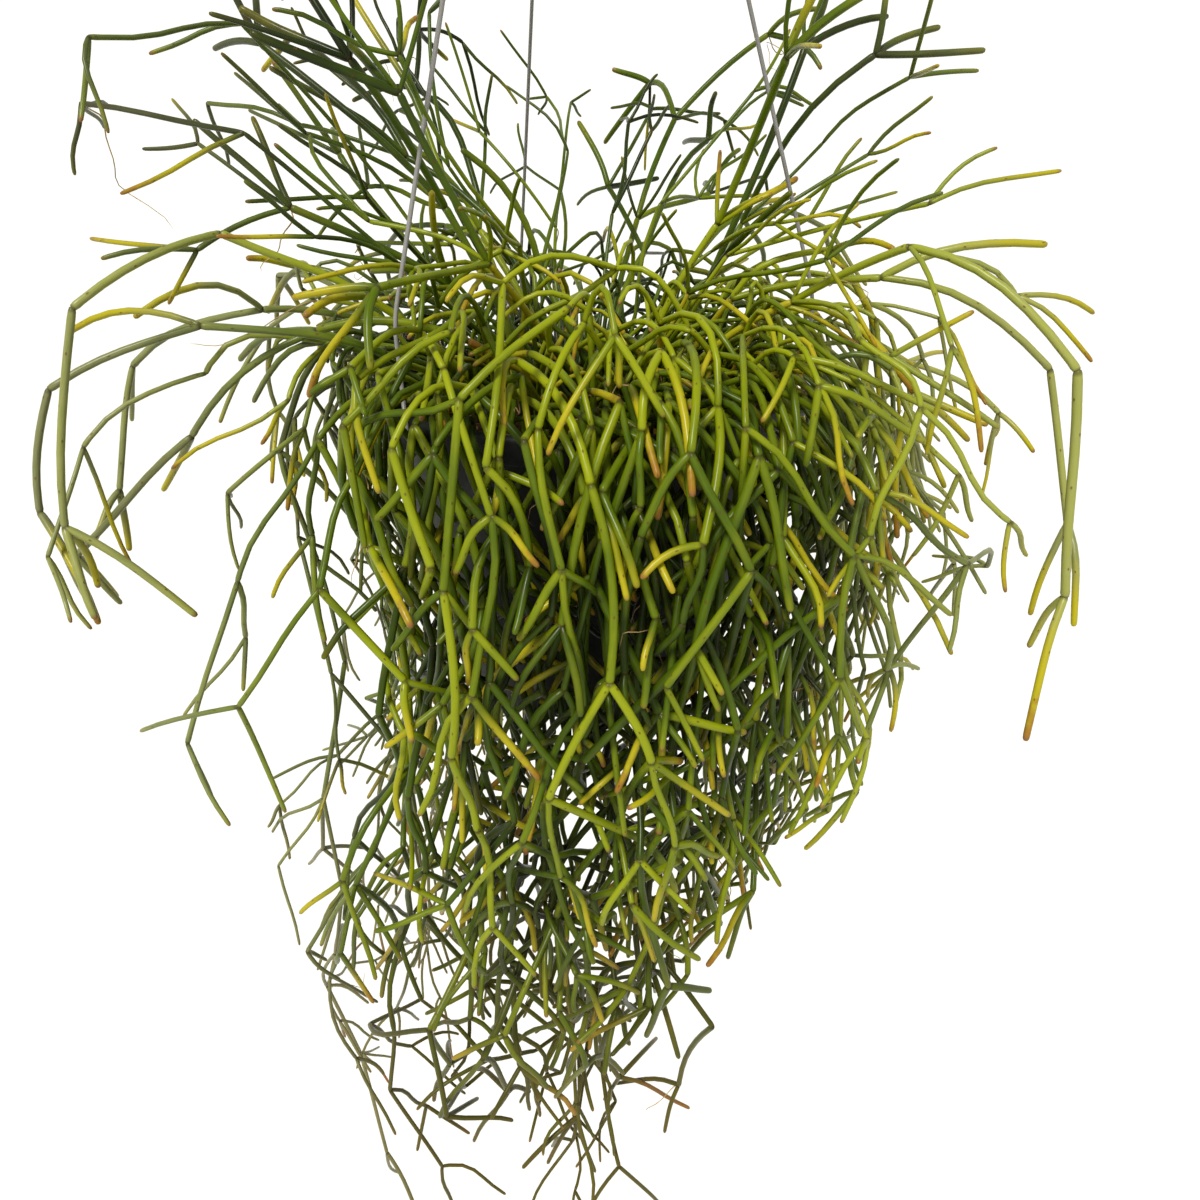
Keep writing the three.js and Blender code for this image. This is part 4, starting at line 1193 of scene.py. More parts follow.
def stations(length, is_tip, middles):
    """Distances from the base and shares of the radius along segments: the narrow base, even steps, and
    the swollen joint or the blunt tip. Both tables are [segment, station], poles included."""
    count = len(length)
    start = np.broadcast_to(BASE_STATIONS, (count, 3, 2))
    close = np.where(is_tip[:, None, None], TIP_STATIONS, JOINT_STATIONS)
    share = (np.arange(middles) + 1) / (middles + 1)
    ends = length[:, None] - close[..., 0]
    middle = start[:, -1:, 0] + (ends[:, :1] - start[:, -1:, 0]) * share
    swell = 1 + SWELL * np.sin(math.pi * share) - TIP_TAPER * is_tip[:, None] * share
    first_pole, zero = np.full((count, 1), BASE_POLE), np.zeros((count, 1))
    last_pole = length[:, None] + np.where(is_tip[:, None], 0.0, JOINT_POLE)
    along = np.concatenate([first_pole, start[..., 0], middle, ends, last_pole], 1)
    radius = np.concatenate([zero, start[..., 1], swell, close[..., 1], zero], 1)
    return along, radius


# %% Formulas on whole arrays
def ramp(value, start, end):
    """Share of the way from start to end, and no less than 0 and no more than 1."""
    return ((value - start) / (end - start)).clip(0, 1)


def on_arc(t, start, control, end):
    """Points of the arc (1-t)^2 S + 2t(1-t) C + t^2 E."""
    return (1 - t) ** 2 * start + 2 * t * (1 - t) * control + t ** 2 * end


def unit_rows(vectors):
    """Vectors over their lengths."""
    return vectors / np.linalg.norm(vectors, axis=-1, keepdims=True)


def turned(u, v, angle):
    """Two coordinates of points after a turn: u cos a - v sin a and u sin a + v cos a."""
    return u * np.cos(angle) - v * np.sin(angle), u * np.sin(angle) + v * np.cos(angle)


# %% [markdown]
# ## Painted light and shade, flush and slimness
#
# Cycles finds the shade between the stems by itself, and painted light and shade is laid on their skin's
# colour as well. Stems in the sun are flushed yellow more often, painted light makes them paler and
# yellow-green, and painted shade keeps those inside the bush dark green. Young shoots at the flanks, at the
# back and far down are slimmer. A material could ask for such things by looking round itself, but that
# costs rays at every sample. So the vertices carry them as numbers: how much painted sun a place gets, from
# where it lies, and how much painted shade from the open sky it sees, from a grid of how much stem there is
# in each cell.

# %% How much sun a place gets
SUN_ALL_OVER = 0.34
SUN_ON_CROWN, SUN_IN_FRONT, SUN_AT_RIGHT = 0.75, 0.2, 0.18
SHADE_HIGH_UP, SHADE_FAR_DOWN = 0.2, 0.55
CROWN_CENTRE, CROWN_SIZE = (20, -30, 20), (90, 70, 45)
FRONT_REACH = 130
RIGHT_SIDE = (60, 120)
HIGH_UP = (50, 140)
FAR_DOWN = (-130, -350)


# Painted light and shade: this value lightens the stems' base colour on the crown, in front and at the right,
# and darkens it behind, at the left, high up and far down.
def sun_at(points):
    """How much sun a place gets, from 0 to 1: most on the crown, by e to the minus square of its distance
    in the crown's own sizes, more in front and at the right, and less behind, high up and far down."""
    x, y, z = points[..., 0], points[..., 1], points[..., 2]
    crown = np.exp(-(((points - CROWN_CENTRE) / CROWN_SIZE) ** 2).sum(-1))
    front = (-y / FRONT_REACH).clip(-1, 1)
    right = ramp(x, *RIGHT_SIDE) - (x < -RIGHT_SIDE[0])
    sun = SUN_ALL_OVER + SUN_ON_CROWN * crown + SUN_IN_FRONT * front + SUN_AT_RIGHT * right
    return (sun - SHADE_HIGH_UP * ramp(z, *HIGH_UP) - SHADE_FAR_DOWN * ramp(z, *FAR_DOWN)).clip(0, 1)


# %% How much open sky a place sees
SKY_CELL = 8.0
SKY_HEADINGS = 24
SKY_STEPS = 10
CROSSING_SHARE = math.pi / 4
POT_BLOCKS = 0.2
ARC_SAMPLES = 8


def stem_samples(shoots):
    """Points along all the shoots' arcs, and the area of stem seen from its side that each stands for."""
    radius = np.array([shoot["habit"]["radius"] for shoot in shoots for _ in shoot["segments"]])
    start, control, end = columns(segments_of(shoots), "start", "control", "end")
    t = ((np.arange(ARC_SAMPLES) + 0.5) / ARC_SAMPLES)[:, None]
    points = on_arc(t, start[:, None], control[:, None], end[:, None])
    area = 2 * radius * np.linalg.norm(end - start, axis=-1) / ARC_SAMPLES
    return points.reshape(-1, 3), np.repeat(area, ARC_SAMPLES)


def crowding_grid(shoots):
    """How much light each cell of a grid takes away for each millimetre that it goes through: the area of
    stem in a cell over the cell's volume. The pot's inside lets hardly any through."""
    points, area = stem_samples(shoots)
    origin = points.min(0) - 2 * SKY_CELL
    size = np.ceil((points.max(0) - origin) / SKY_CELL).astype(int) + 2
    cell = np.ravel_multi_index(((points - origin) / SKY_CELL).astype(int).T, size)
    taken = np.bincount(cell, area * CROSSING_SHARE, size.prod()) / SKY_CELL ** 3
    x, y, z = np.indices(size) * SKY_CELL + (origin + SKY_CELL / 2)[:, None, None, None]
    in_pot = (x ** 2 + y ** 2 < RIM_RADIUS ** 2) & (z < -SKY_CELL) & (z > -POT_HEIGHT)
    return origin, np.where(in_pot, POT_BLOCKS, taken.reshape(size))


# Painted shade: this share of open sky darkens the stems' base colour deep in the bush, as occlusion painted
# into the colour.
def sky_at(points):
    """Share of the light from all round that reaches a place: for each heading, e to the minus of what
    the cells on the way take away, and the mean of that over the headings."""
    number = np.arange(SKY_HEADINGS)
    height = 1 - 2 * (number + 0.5) / SKY_HEADINGS
    level_share = np.sqrt(1 - height ** 2)
    turn = number * GOLDEN_ANGLE
    headings = np.stack([level_share * np.cos(turn), level_share * np.sin(turn), height], 1)
    total = np.zeros(points.shape[:-1])
    limit = np.array(crowding.shape) - 1
    for heading in headings:
        taken = np.zeros(points.shape[:-1])
        for step in range(1, SKY_STEPS + 1):
            place = (points + heading * SKY_CELL * step - sky_origin) / SKY_CELL
            x, y, z = np.moveaxis(place.astype(int).clip(0, limit), -1, 0)
            taken += crowding[x, y, z] * SKY_CELL
        total += np.exp(-taken)
    return total / SKY_HEADINGS


sky_origin, crowding = crowding_grid(frame_shoots + fill_shoots + spray_shoots)
joint_sky = sky_at(*columns(segments_of(fill_shoots), "end"))
print("open sky at the filling stems' joints:", np.round(np.percentile(joint_sky, (5, 25, 50, 75, 95)), 2))

# %% [markdown]
# ## Pieces of many stems
#
# A real stem is one grown thing, so each of the frame's fifty-one is one piece, in the place of its solid.
# The growth in between could be a single piece, but then no part of it could be hidden or looked at alone,
# and a piece for each stem would be more than five hundred. So there is one for each kind of growth on
# each side of the plant. Real stems are never quite straight or evenly thick, so each segment also gets a
# bow and a thickness of its own.

# %% Rings carried along paths
def ring_tubes(path, direction, radius, normal, sides):
    """Vertices of tubes: first pole, rings, last pole. A ring's points are P + r (cos a N + sin a B), with
    B = T x N for its path's direction T, so the rings never twist while the normal N stays the same.
    Path and direction are [tube, station, 3], radius [tube, station], normal [tube, 3]."""
    across = unit_rows(np.cross(direction, normal[:, None]))
    level_out = np.cross(across, direction)
    angle = (np.arange(sides) * 2 * math.pi / sides)[:, None]
    turn = np.cos(angle) * level_out[:, 1:-1, None] + np.sin(angle) * across[:, 1:-1, None]
    rings = path[:, 1:-1, None] + radius[:, 1:-1, None, None] * turn
    return np.concatenate([path[:, :1], rings.reshape(len(path), -1, 3), path[:, -1:]], 1)


def directions_along(path):
    """Unit directions of paths [tube, station, 3], from each point's neighbours."""
    return unit_rows(np.gradient(path, axis=1))


def tube_piece(name, path, radius, normal, sides, skin):
    """A piece of tubes along paths: arrays as in ring_tubes. The first and last radius are the poles'."""
    vertices = ring_tubes(path, directions_along(path), radius, normal, sides)
    faces = tube_faces(len(path), path.shape[1] - 2, sides)[0]
    return make_mesh(name, vertices.reshape(-1, 3), faces, skin)


# %% How yellow, and how slim
stem_numbers = np.random.default_rng(11)
FLUSH_SHARES = {"upright": 0.45, "plume": 0.4, "arching": 0.8, "crown": 0.9, "trailing": 0.34, "skirt": 0.3}
FLUSH_IN_SHADE, FLUSH_BY_SUN = 0.25, 1.6
INNER_FLUSH = 0.4
SUNLIT = 0.8
FLUSH_AMOUNTS = (0.45, 1.25)
FAINT_FLUSH, FAINT_TIP = 0.16, 0.12
FLUSH_AT_BASE = 0.15
FLUSH_CURVE = 1.4
SLIMMEST = 0.66
FULL_IN_FRONT = (0, -80)
FULL_INSIDE = (110, 40)
FULL_ABOVE = (-340, -180)
FULL_BELOW = (60, 0)


def flush_of(kinds, share, is_tip, end):
    """How yellow or tan each station is. Tips are flushed more often than other segments, the more often
    the more sun they get, and all of them more towards their end."""
    count = len(kinds)
    sun = sun_at(end)
    likely = np.array([FLUSH_SHARES[kind] for kind in kinds]) * (FLUSH_IN_SHADE + FLUSH_BY_SUN * sun)
    likely *= np.maximum(is_tip, INNER_FLUSH * (sun > SUNLIT))
    chosen = stem_numbers.uniform(0, 1, count) < likely
    amount = chosen * stem_numbers.uniform(*FLUSH_AMOUNTS, count)
    faint = stem_numbers.uniform(0, FAINT_FLUSH, count) + FAINT_TIP * is_tip
    towards_end = FLUSH_AT_BASE + (1 - FLUSH_AT_BASE) * share.clip(0, 1) ** FLUSH_CURVE
    return np.maximum(amount, faint)[:, None] * towards_end


def slimness(points):
    """Share of a stem's full thickness that it has at a place: all of it in front of the pot, and less to
    the sides, at the back, high up and far down, where the shoots are young."""
    x, y, z = points[..., 0], points[..., 1], points[..., 2]
    full = ramp(y, *FULL_IN_FRONT) * ramp(abs(x), *FULL_INSIDE) * ramp(z, *FULL_ABOVE) * ramp(z, *FULL_BELOW)
    return SLIMMEST + (1 - SLIMMEST) * full


# %% Many segments as one piece
WAVE = 0.6
NUDGE = (0.003, 0.001, 0.002)
THICKNESS_SPREAD = 0.12
SHOOT_TINT = 0.6
SKY_SHARE = 1.6
SKY_LEVEL = 0.42
SKY_OPEN = 0.51


def bowed_paths(segments, along, length, bow):
    """Paths [segment, station, 3], their directions, and their planes' normals. A path follows its arc, and
    goes on straight past its two ends. To that it adds sines of half a wave and a whole wave, whose heights
    are shares of the length up to bow. A straight segment has no plane, so a nudge gives it one."""
    table = columns(segments, "start", "control", "end", "heading", "final")
    start, control, end, heading, final = (column[:, None] for column in table)
    length = length[:, None, None]
    t = along[..., None] / length
    inside = t.clip(0, 1)
    direction = unit_rows(heading * (1 - inside) + final * inside)
    path = on_arc(inside, start, control, end) + direction * (t - inside) * length
    normal = unit_rows(np.cross(heading, final + NUDGE))
    aside = np.cross(normal, direction)
    for amount, turns in ((bow, 1), (bow * WAVE, 2)):
        wave = stem_numbers.uniform(-amount, amount, len(segments))[:, None, None]
        phase = turns * math.pi * inside
        path += aside * wave * length * np.sin(phase)
        direction += aside * wave * turns * math.pi * np.cos(phase)
    return path, unit_rows(direction), normal[:, 0]


def stem_piece(name, shoots, skin, sides, middles, bow, slimming):
    """A piece of round stems, with what their skin reads at each vertex. Place is the way from the
    segment's base, the way to its end, and whether it's a tip. Tone is the flush, the painted light and
    shade, and a tint that is partly the whole shoot's. Slimming says how much of the slimness at a place is
    used."""
    segments = segments_of(shoots)
    kinds = [shoot["kind"] for shoot in shoots for _ in shoot["segments"]]
    radius = np.array([shoot["habit"]["radius"] for shoot in shoots for _ in shoot["segments"]])
    tints = stem_numbers.uniform(0, 1, len(shoots))
    shoot_tint = np.repeat(tints, [len(shoot["segments"]) for shoot in shoots])
    count = len(segments)
    start, control, end = columns(segments, "start", "control", "end")
    is_tip = np.array([segment["is_tip"] for segment in segments])
    length = np.linalg.norm(control - start, axis=1) + np.linalg.norm(end - control, axis=1)
    along, share = stations(length, is_tip, middles)
    path, direction, normal = bowed_paths(segments, along, length, bow)
    thick = radius * (1 - slimming * (1 - slimness(control)))
    thick *= stem_numbers.uniform(1 - THICKNESS_SPREAD, 1 + THICKNESS_SPREAD, count)
    vertices = ring_tubes(path, direction, share * thick[:, None], normal, sides)

    steps = along.shape[1]
    place = along, length[:, None] - along, is_tip[:, None]
    flush = flush_of(kinds, along / length[:, None], is_tip, end)
    # Painted light and shade: painted sun by place, plus painted shade where a place sees little open sky.
    light = sun_at(path) + SKY_SHARE * (np.minimum(sky_at(path), SKY_OPEN) - SKY_LEVEL)
    tint = SHOOT_TINT * shoot_tint + (1 - SHOOT_TINT) * stem_numbers.uniform(0, 1, count)
    ring_of = np.repeat(np.arange(steps), [1] + [sides] * (steps - 2) + [1])
    values = {}
    for key, three in (("place", place), ("tone", (flush, light, tint[:, None]))):
        values[key] = np.stack(np.broadcast_arrays(*three), -1)[:, ring_of].reshape(-1, 3)

    faces, *tables = tube_faces(count, steps - 2, sides)
    spin = stem_numbers.uniform(0, 1, count)[:, None, None]
    corners = [np.stack([around + spin, along[:, station]], -1).reshape(-1, 2) for around, station in tables]
    return make_mesh(name, vertices.reshape(-1, 3), faces, skin, np.concatenate(corners), values)


def mark_tips(shoots):
    """Marks every segment from whose end nothing grows."""
    segments = segments_of(shoots)
    joints = {segment["from_joint"] for segment in segments}
    for segment in segments:
        segment["is_tip"] = segment["to_joint"] not in joints


mark_tips(frame_shoots + fill_shoots + spray_shoots)

# %% The frame's stems as fine ones
FRAME_SIDES, FRAME_MIDDLES = 10, 5
FRAME_BOW = 0.03
FRAME_SLIMMING = {"upright": 0.0, "arching": 0.4, "trailing": 0.75}
for shoot in frame_shoots:
    piece = stem_piece(shoot["name"] + "_stem", [shoot], skins[shoot["kind"]], FRAME_SIDES, FRAME_MIDDLES,
                       FRAME_BOW, FRAME_SLIMMING[shoot["kind"]])
    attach(piece, "root")
    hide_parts(shoot["name"])
    shoot["kind"] + "_stem"
low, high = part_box("trailing_05")
found = np.array(bpy.data.objects["trailing_05_stem"].bound_box)
print("node trailing_05", np.round((*low, *high), 3))
print("its fine stem", np.round((*found.min(0), *found.max(0)), 3))

# %% The stems in between, by side of the plant
FILL_SIDES, FILL_MIDDLES = 8, 4
FILL_BOW = 0.06
FILL_SECTORS = {"front": -90, "right": 0, "rear": 90, "left": 180}


def sector_of(shoot):
    """The side of the plant that a stem mostly hangs on."""
    middle = np.mean([segment["end"] for segment in shoot["segments"]], axis=0)
    angle = math.degrees(math.atan2(middle[1], middle[0]))
    return min(FILL_SECTORS, key=lambda side: abs((FILL_SECTORS[side] - angle + 180) % 360 - 180))


def fill_pieces(label, kind, shoots, look):
    """The stems of one kind, as a piece for each side of the plant, with one of the three skins."""
    groups = {}
    for shoot in shoots:
        if shoot["kind"] == kind and shoot["segments"]:
            groups.setdefault(sector_of(shoot), []).append(shoot)
    for side, members in sorted(groups.items()):
        piece = stem_piece(f"{label}_{side}", members, skins[look], FILL_SIDES, FILL_MIDDLES, FILL_BOW, 1)
        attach(piece, "root")
        print(piece.name, len(members), "shoots,", len(piece.data.polygons), "faces")


fill_pieces("plume", "plume", fill_shoots, "upright")
fill_pieces("crown", "crown", fill_shoots, "arching")
fill_pieces("curtain", "skirt", fill_shoots, "trailing")
for kind in HABITS:
    fill_pieces(kind + "_spray", kind, spray_shoots, kind)
fill_pieces("core", "skirt", spray_shoots, "trailing")

# %% [markdown]
# ## The pot
#
# The pot is one moulded piece, so it is one outline turned round its axis. Its edges are small arcs of
# three points each, which give the light a soft line to catch. Blender's own Screw and Bevel modifiers
# would turn and round it too, but worked out as numbers the outline keeps to the frame's measures. An ear
# is a surface that goes once round the strand's hole and once round its own section, like a flat ring
# whose outside is nearly square. Only the drain holes are cut.

# %% A profile turned round an axis
LONGEST_REACH = 0.45


def turned_piece(name, profile, sides, skin, squash=None):
    """A profile of (radius, height) points that starts and ends on the axis, as a closed surface:
    x = r cos a, y = r sin a, z = h. Squash may change the grid [profile point, side, 3] beforehand."""
    radius, height = np.asarray(profile, float).T[..., None]
    angle = np.arange(sides) * 2 * math.pi / sides
    grid = np.stack([radius * np.cos(angle), radius * np.sin(angle), height + 0 * angle], -1)
    if squash is not None:
        grid = squash(grid)
    vertices = np.concatenate([grid[0, :1], grid[1:-1].reshape(-1, 3), grid[-1, :1]])
    return make_mesh(name, vertices, tube_faces(1, len(profile) - 2, sides)[0], skin)


def rounded(profile, radius, steps=3):
    """The profile with each corner, but not its two ends, replaced by an arc of a few points, between
    points at the radius from the corner or nearly half way to the next one."""
    profile = np.asarray(profile, float)
    before, corner, after = profile[:-2], profile[1:-1], profile[2:]
    ends = []
    for side in (before - corner, after - corner):
        share = np.minimum(radius / np.linalg.norm(side, axis=1, keepdims=True), LONGEST_REACH)
        ends.append((corner + side * share)[:, None])
    arcs = on_arc(np.linspace(0, 1, steps)[:, None], ends[0], corner[:, None], ends[1])
    return np.concatenate([profile[:1], arcs.reshape(-1, 2), profile[-1:]])


def cut_holes(piece, feet, heads, radius, normals, sides):
    """Cuts round holes for good, each with a rod from a foot to a head outside the piece."""
    path = np.stack([feet, feet, heads, heads], 1)
    direction = np.broadcast_to(unit_rows(heads - feet)[:, None], path.shape)
    radii = np.broadcast_to([0, radius, radius, 0], path.shape[:2])
    vertices = ring_tubes(path, direction, radii, normals, sides).reshape(-1, 3)
    cutter = make_mesh("cutter", vertices, tube_faces(len(feet), 2, sides)[0], piece.data.materials[0])
    modifier = piece.modifiers.new("cut", "BOOLEAN")
    modifier.object = cutter
    modifier.operation = "DIFFERENCE"
    bpy.context.view_layer.update()
    result = bpy.data.meshes.new_from_object(piece.evaluated_get(bpy.context.evaluated_depsgraph_get()))
    piece.modifiers.clear()
    piece.data = result
    bpy.data.objects.remove(cutter)


# %% The pot
POT_SIDES = 160
POT_EDGE = 0.7
ROLL_STEP = 2
FOOT_HEIGHT = 1.2
POT_MIDDLE = -60
DRAIN_SIDES = 32


def inner_radius(height):
    """The pot's inside at a height."""
    return wall_radius(height) - WALL


base, hollow, floor_top = -POT_HEIGHT, FOOT_HEIGHT - POT_HEIGHT, FLOOR - POT_HEIGHT
under = [(0, hollow), (BASE_RADIUS - 7, hollow), (BASE_RADIUS - 8.5, base), (BASE_RADIUS - 1, base)]
outside = [(wall_radius(height), height) for height in (base + 1, POT_MIDDLE)]
rim = [(SHOULDER_RADIUS, -RIM_DEPTH), (RIM_RADIUS - 0.6, -RIM_DEPTH), (RIM_RADIUS - 0.3, -RIM_DEPTH / 2),
       (RIM_RADIUS, -1.2), (RIM_RADIUS - 1, 0), (RIM_RADIUS - 3.2, 0)]
inside = [(inner_radius(height), height) for height in (-ROLL_STEP, POT_MIDDLE, floor_top)]
pot_profile = rounded(under + outside + rim + inside + [(0, floor_top)], POT_EDGE)
pot = turned_piece("pot_body", pot_profile, POT_SIDES, pot_skin)
spots = np.arange(DRAIN_HOLES) * 2 * math.pi / DRAIN_HOLES
drains = np.stack([DRAIN_CIRCLE * np.cos(spots), DRAIN_CIRCLE * np.sin(spots), 0 * spots + base - 1], 1)
drain_normals = np.tile([1.0, 0, 0], (DRAIN_HOLES, 1))
cut_holes(pot, drains, drains + (0, 0, FLOOR + 2), DRAIN_RADIUS, drain_normals, DRAIN_SIDES)


# %% The ears on its rim
EAR_SIDES = 64
EAR_EDGE = 0.9
EAR_INWARDS = 1
EAR_SQUARENESS = 4.5
EAR_LIP, EAR_LIP_HEIGHT = 0.15, 0.3


def ear_surface(azimuth):
    """A grid [station of the section, angle]: the first and last stations lie on the hole, the others on
    a superellipse |x/a|^n + |y/b|^n = 1, so its radius at an angle is (|cos/a|^n + |sin/b|^n)^(-1/n)."""
    angle = np.arange(EAR_SIDES) * 2 * math.pi / EAR_SIDES
    n = EAR_SQUARENESS
    along, across = abs(np.cos(angle) / (EAR_LENGTH / 2)), abs(np.sin(angle) / (EAR_WIDTH / 2))
    outer = (along ** n + across ** n) ** (-1 / n)
    low, high, lip = -EAR_HEIGHT - EAR_DROP, -EAR_DROP, EAR_LIP_HEIGHT
    # For each station: its share of the way from the hole to the outside, how far inside that, its height
    section = [(0, 0, low + lip), (EAR_LIP, 0, low), (1, EAR_EDGE, low), (1, 0, low + EAR_EDGE),
               (1, 0, high - EAR_EDGE), (1, EAR_EDGE, high), (EAR_LIP, 0, high), (0, 0, high - lip)]
    share, inset, height = np.array(section, float).T[..., None]
    radius = STRAND_HOLE_RADIUS + (outer - STRAND_HOLE_RADIUS) * share - inset
    x, y = turned(radius * np.cos(angle) - EAR_INWARDS, radius * np.sin(angle), math.radians(azimuth))
    return np.stack([x, y, height + 0 * x], -1) + ear_point(azimuth, 0)


def ring_faces(stations_count, sides):
    """Faces of a grid that closes on itself both ways."""
    station = np.arange(stations_count)[:, None]
    side = np.arange(sides)[None, :]
    next_station, next_side = (station + 1) % stations_count, (side + 1) % sides
    corners = [station * sides + side, station * sides + next_side,
               next_station * sides + next_side, next_station * sides + side]
    return np.stack(np.broadcast_arrays(*corners), -1).reshape(-1, 4)


ears = [ear_surface(azimuth) for azimuth in STRAND_AZIMUTHS.values()]
ear_rings, per_ear = ears[0].shape[0], ears[0].shape[0] * EAR_SIDES
ear_faces = np.concatenate([ring_faces(ear_rings, EAR_SIDES) + i * per_ear for i in range(len(ears))])
ear_piece = make_mesh("pot_ears", np.concatenate([ear.reshape(-1, 3) for ear in ears]), [ear_faces], pot_skin)
for piece in (pot, ear_piece):
    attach(piece, "root")
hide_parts("pot")
print("pot", len(pot.data.polygons), "faces")

# %% [markdown]
# ## Hook, hub and strands
#
# These are moulded rods of grey plastic. A curve with a round bevel would give such rods, but the strands
# end in knobs with flat faces. So each is a tube whose middle line lies in one plane, whose normal keeps
# the rings straight. The knobs are no pieces of their own: the tube just grows thicker there.

# %% The hook and its hub
def bent(start, control, end, steps):
    """Points in even steps of t along an arc."""
    return on_arc(np.linspace(0, 1, steps)[:, None], np.array(start), np.array(control), np.array(end))


HOOK_SIDES = 24
HOOK_STEPS, SHAFT_STEPS, NECK_STEPS = 48, 5, 9
HOOK_TIP_POINTS = (-1.6, -0.6, 0)
HOOK_TIP_RADIUS = 0.8
HUB_EDGE = 0.8
HUB_SIDES = 64
HUB_BOSS = ((4.2, 0), (2.8, 1.4), (0, 1.4))
HOLE_SIDES = 24
HOLE_REACH = 5
arc_angle = np.radians(HOOK_ARC_START + np.linspace(0, HOOK_ARC_SWEEP, HOOK_STEPS))
arc_points = np.stack([HOOK_ARC_RADIUS * np.cos(arc_angle), 0 * arc_angle,
                       HOOK_ARC_HEIGHT + HOOK_ARC_RADIUS * np.sin(arc_angle)], 1)
neck_control = (0, 0, arc_points[0, 2] - arc_points[0, 0] * math.tan(math.radians(90 + HOOK_ARC_START)))
neck_start = (0, 0, neck_control[2] - HOOK_NECK)
shaft = bent((0, 0, HUB_TOP - HUB_THICKNESS / 2), (0, 0, HUB_TOP + 2), neck_start, SHAFT_STEPS)
neck = bent(neck_start, neck_control, arc_points[0], NECK_STEPS)
tip = arc_points[-1] + unit_rows(arc_points[-1] - arc_points[-2]) * np.array(HOOK_TIP_POINTS)[:, None]
hook_path = np.concatenate([shaft, neck[1:], arc_points[1:-2], tip])[None]
hook_radius = np.full(hook_path.shape[:2], float(HOOK_WIRE_RADIUS))
hook_radius[0, -2:] = HOOK_WIRE_RADIUS * HOOK_TIP_RADIUS, 0
hook = tube_piece("hook_rod", hook_path, hook_radius, np.array([[0.0, 1, 0]]), HOOK_SIDES, hanger_skin)

hub_bottom = HUB_TOP - HUB_THICKNESS
boss = [(radius, HUB_TOP + height) for radius, height in HUB_BOSS]
hub_profile = rounded([(0, hub_bottom), (HUB_RADIUS, hub_bottom), (HUB_RADIUS, HUB_TOP)] + boss, HUB_EDGE, 4)
hub = turned_piece("hub_disc", hub_profile, HUB_SIDES, hanger_skin)
lines = [strand_line(azimuth) for azimuth in STRAND_AZIMUTHS.values()]
holes, slants = columns(lines, "hole", "slant")
outward = np.array([ear_point(azimuth, 0) for azimuth in STRAND_AZIMUTHS.values()])
strand_normals = np.cross(outward, (0, 0, 1)) / EAR_CIRCLE
reach = slants * HOLE_REACH
cut_holes(hub, holes - reach, holes + reach, STRAND_HOLE_RADIUS, strand_normals, HOLE_SIDES)
print("hook", len(hook.data.polygons), "faces, hub", len(hub.data.polygons))

# %% The strands with their knobs
STRAND_SIDES = 14
ROD_RADIUS = 0.65
BEND_STEPS = 13
KNOB_EDGE = 0.5
KNOB_END = KNOB_RADIUS - KNOB_EDGE
KNOB_RADII = np.array([0, KNOB_END, KNOB_RADIUS, KNOB_RADIUS, KNOB_END, ROD_RADIUS])


def knob_heights(length):
    """Heights of a knob's points: both ends twice, where it closes, and a chamfer's height inside them."""
    return np.array([0, 0, KNOB_EDGE, length - KNOB_EDGE, length, length])[:, None]


def strand_path(line):
    """Points, radii and directions from the knob under the ear to the knob over the hub."""
    up = np.array([0.0, 0, 1])
    below = line["corner"] - up * STRAND_BEND_REACH
    above = line["corner"] + line["slant"] * STRAND_BEND_REACH
    foot = line["foot"] - up * KNOB_EDGE
    head = line["hole"] + line["slant"] * (HUB_THICKNESS / 2 + KNOB_OVER_HUB)
    bend_points = bent(below, line["corner"], above, BEND_STEPS)
    points = np.concatenate([foot + up * knob_heights(KNOB_LENGTH - GAP + KNOB_EDGE), bend_points,
                             head + line["slant"] * knob_heights(KNOB_LENGTH)])
    radii = np.concatenate([KNOB_RADII, np.full(BEND_STEPS, ROD_RADIUS), KNOB_RADII[::-1]])
    ends = [np.tile(end, (len(KNOB_RADII), 1)) for end in (up, line["slant"])]
    return points, radii, np.concatenate([ends[0], directions_along(bend_points[None])[0], ends[1]])


for side, line, normal in zip(STRAND_AZIMUTHS, lines, strand_normals):
    points, radii, heading = strand_path(line)
    rings = ring_tubes(points[None], heading[None], radii[None], normal[None], STRAND_SIDES)
    faces = tube_faces(1, len(points) - 2, STRAND_SIDES)[0]
    strand = make_mesh(f"strand_{side}_rod", rings[0], faces, hanger_skin)
    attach(strand, "root")
    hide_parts("strand_" + side)
for piece in (hook, hub):
    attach(piece, "root")
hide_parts("hook")
print("each strand", len(strand.data.polygons), "faces")

# %% [markdown]
# ## Soil and bark
#
# The soil is a turned outline too, with a closely ringed top that smoothed draws make crumbly. Bark chips
# lie on it and fill the gaps between the stems' feet. A particle system could strew them, but then each
# would be an object of its own. Here a small rough ball of few faces is stretched and turned differently
# for each chip, and all of them are worked out as one array and make one piece.

# %% The soil
SOIL_RINGS = 60
SOIL_SIDES = 180
SOIL_CHAMFER = 1.6
CRUMB_HEIGHT = 0.9
CRUMB_SHARES = ((1, 0, 0.6), (1, 1, 0.6), (2, 1, 0.3))
LEVEL_EDGE, LEVEL_MIDDLE = 4, 6
soil_numbers = np.random.default_rng(5)


def soil_edge(height):
    """The soil's radius at a height."""
    return inner_radius(height) - SOIL_TO_WALL


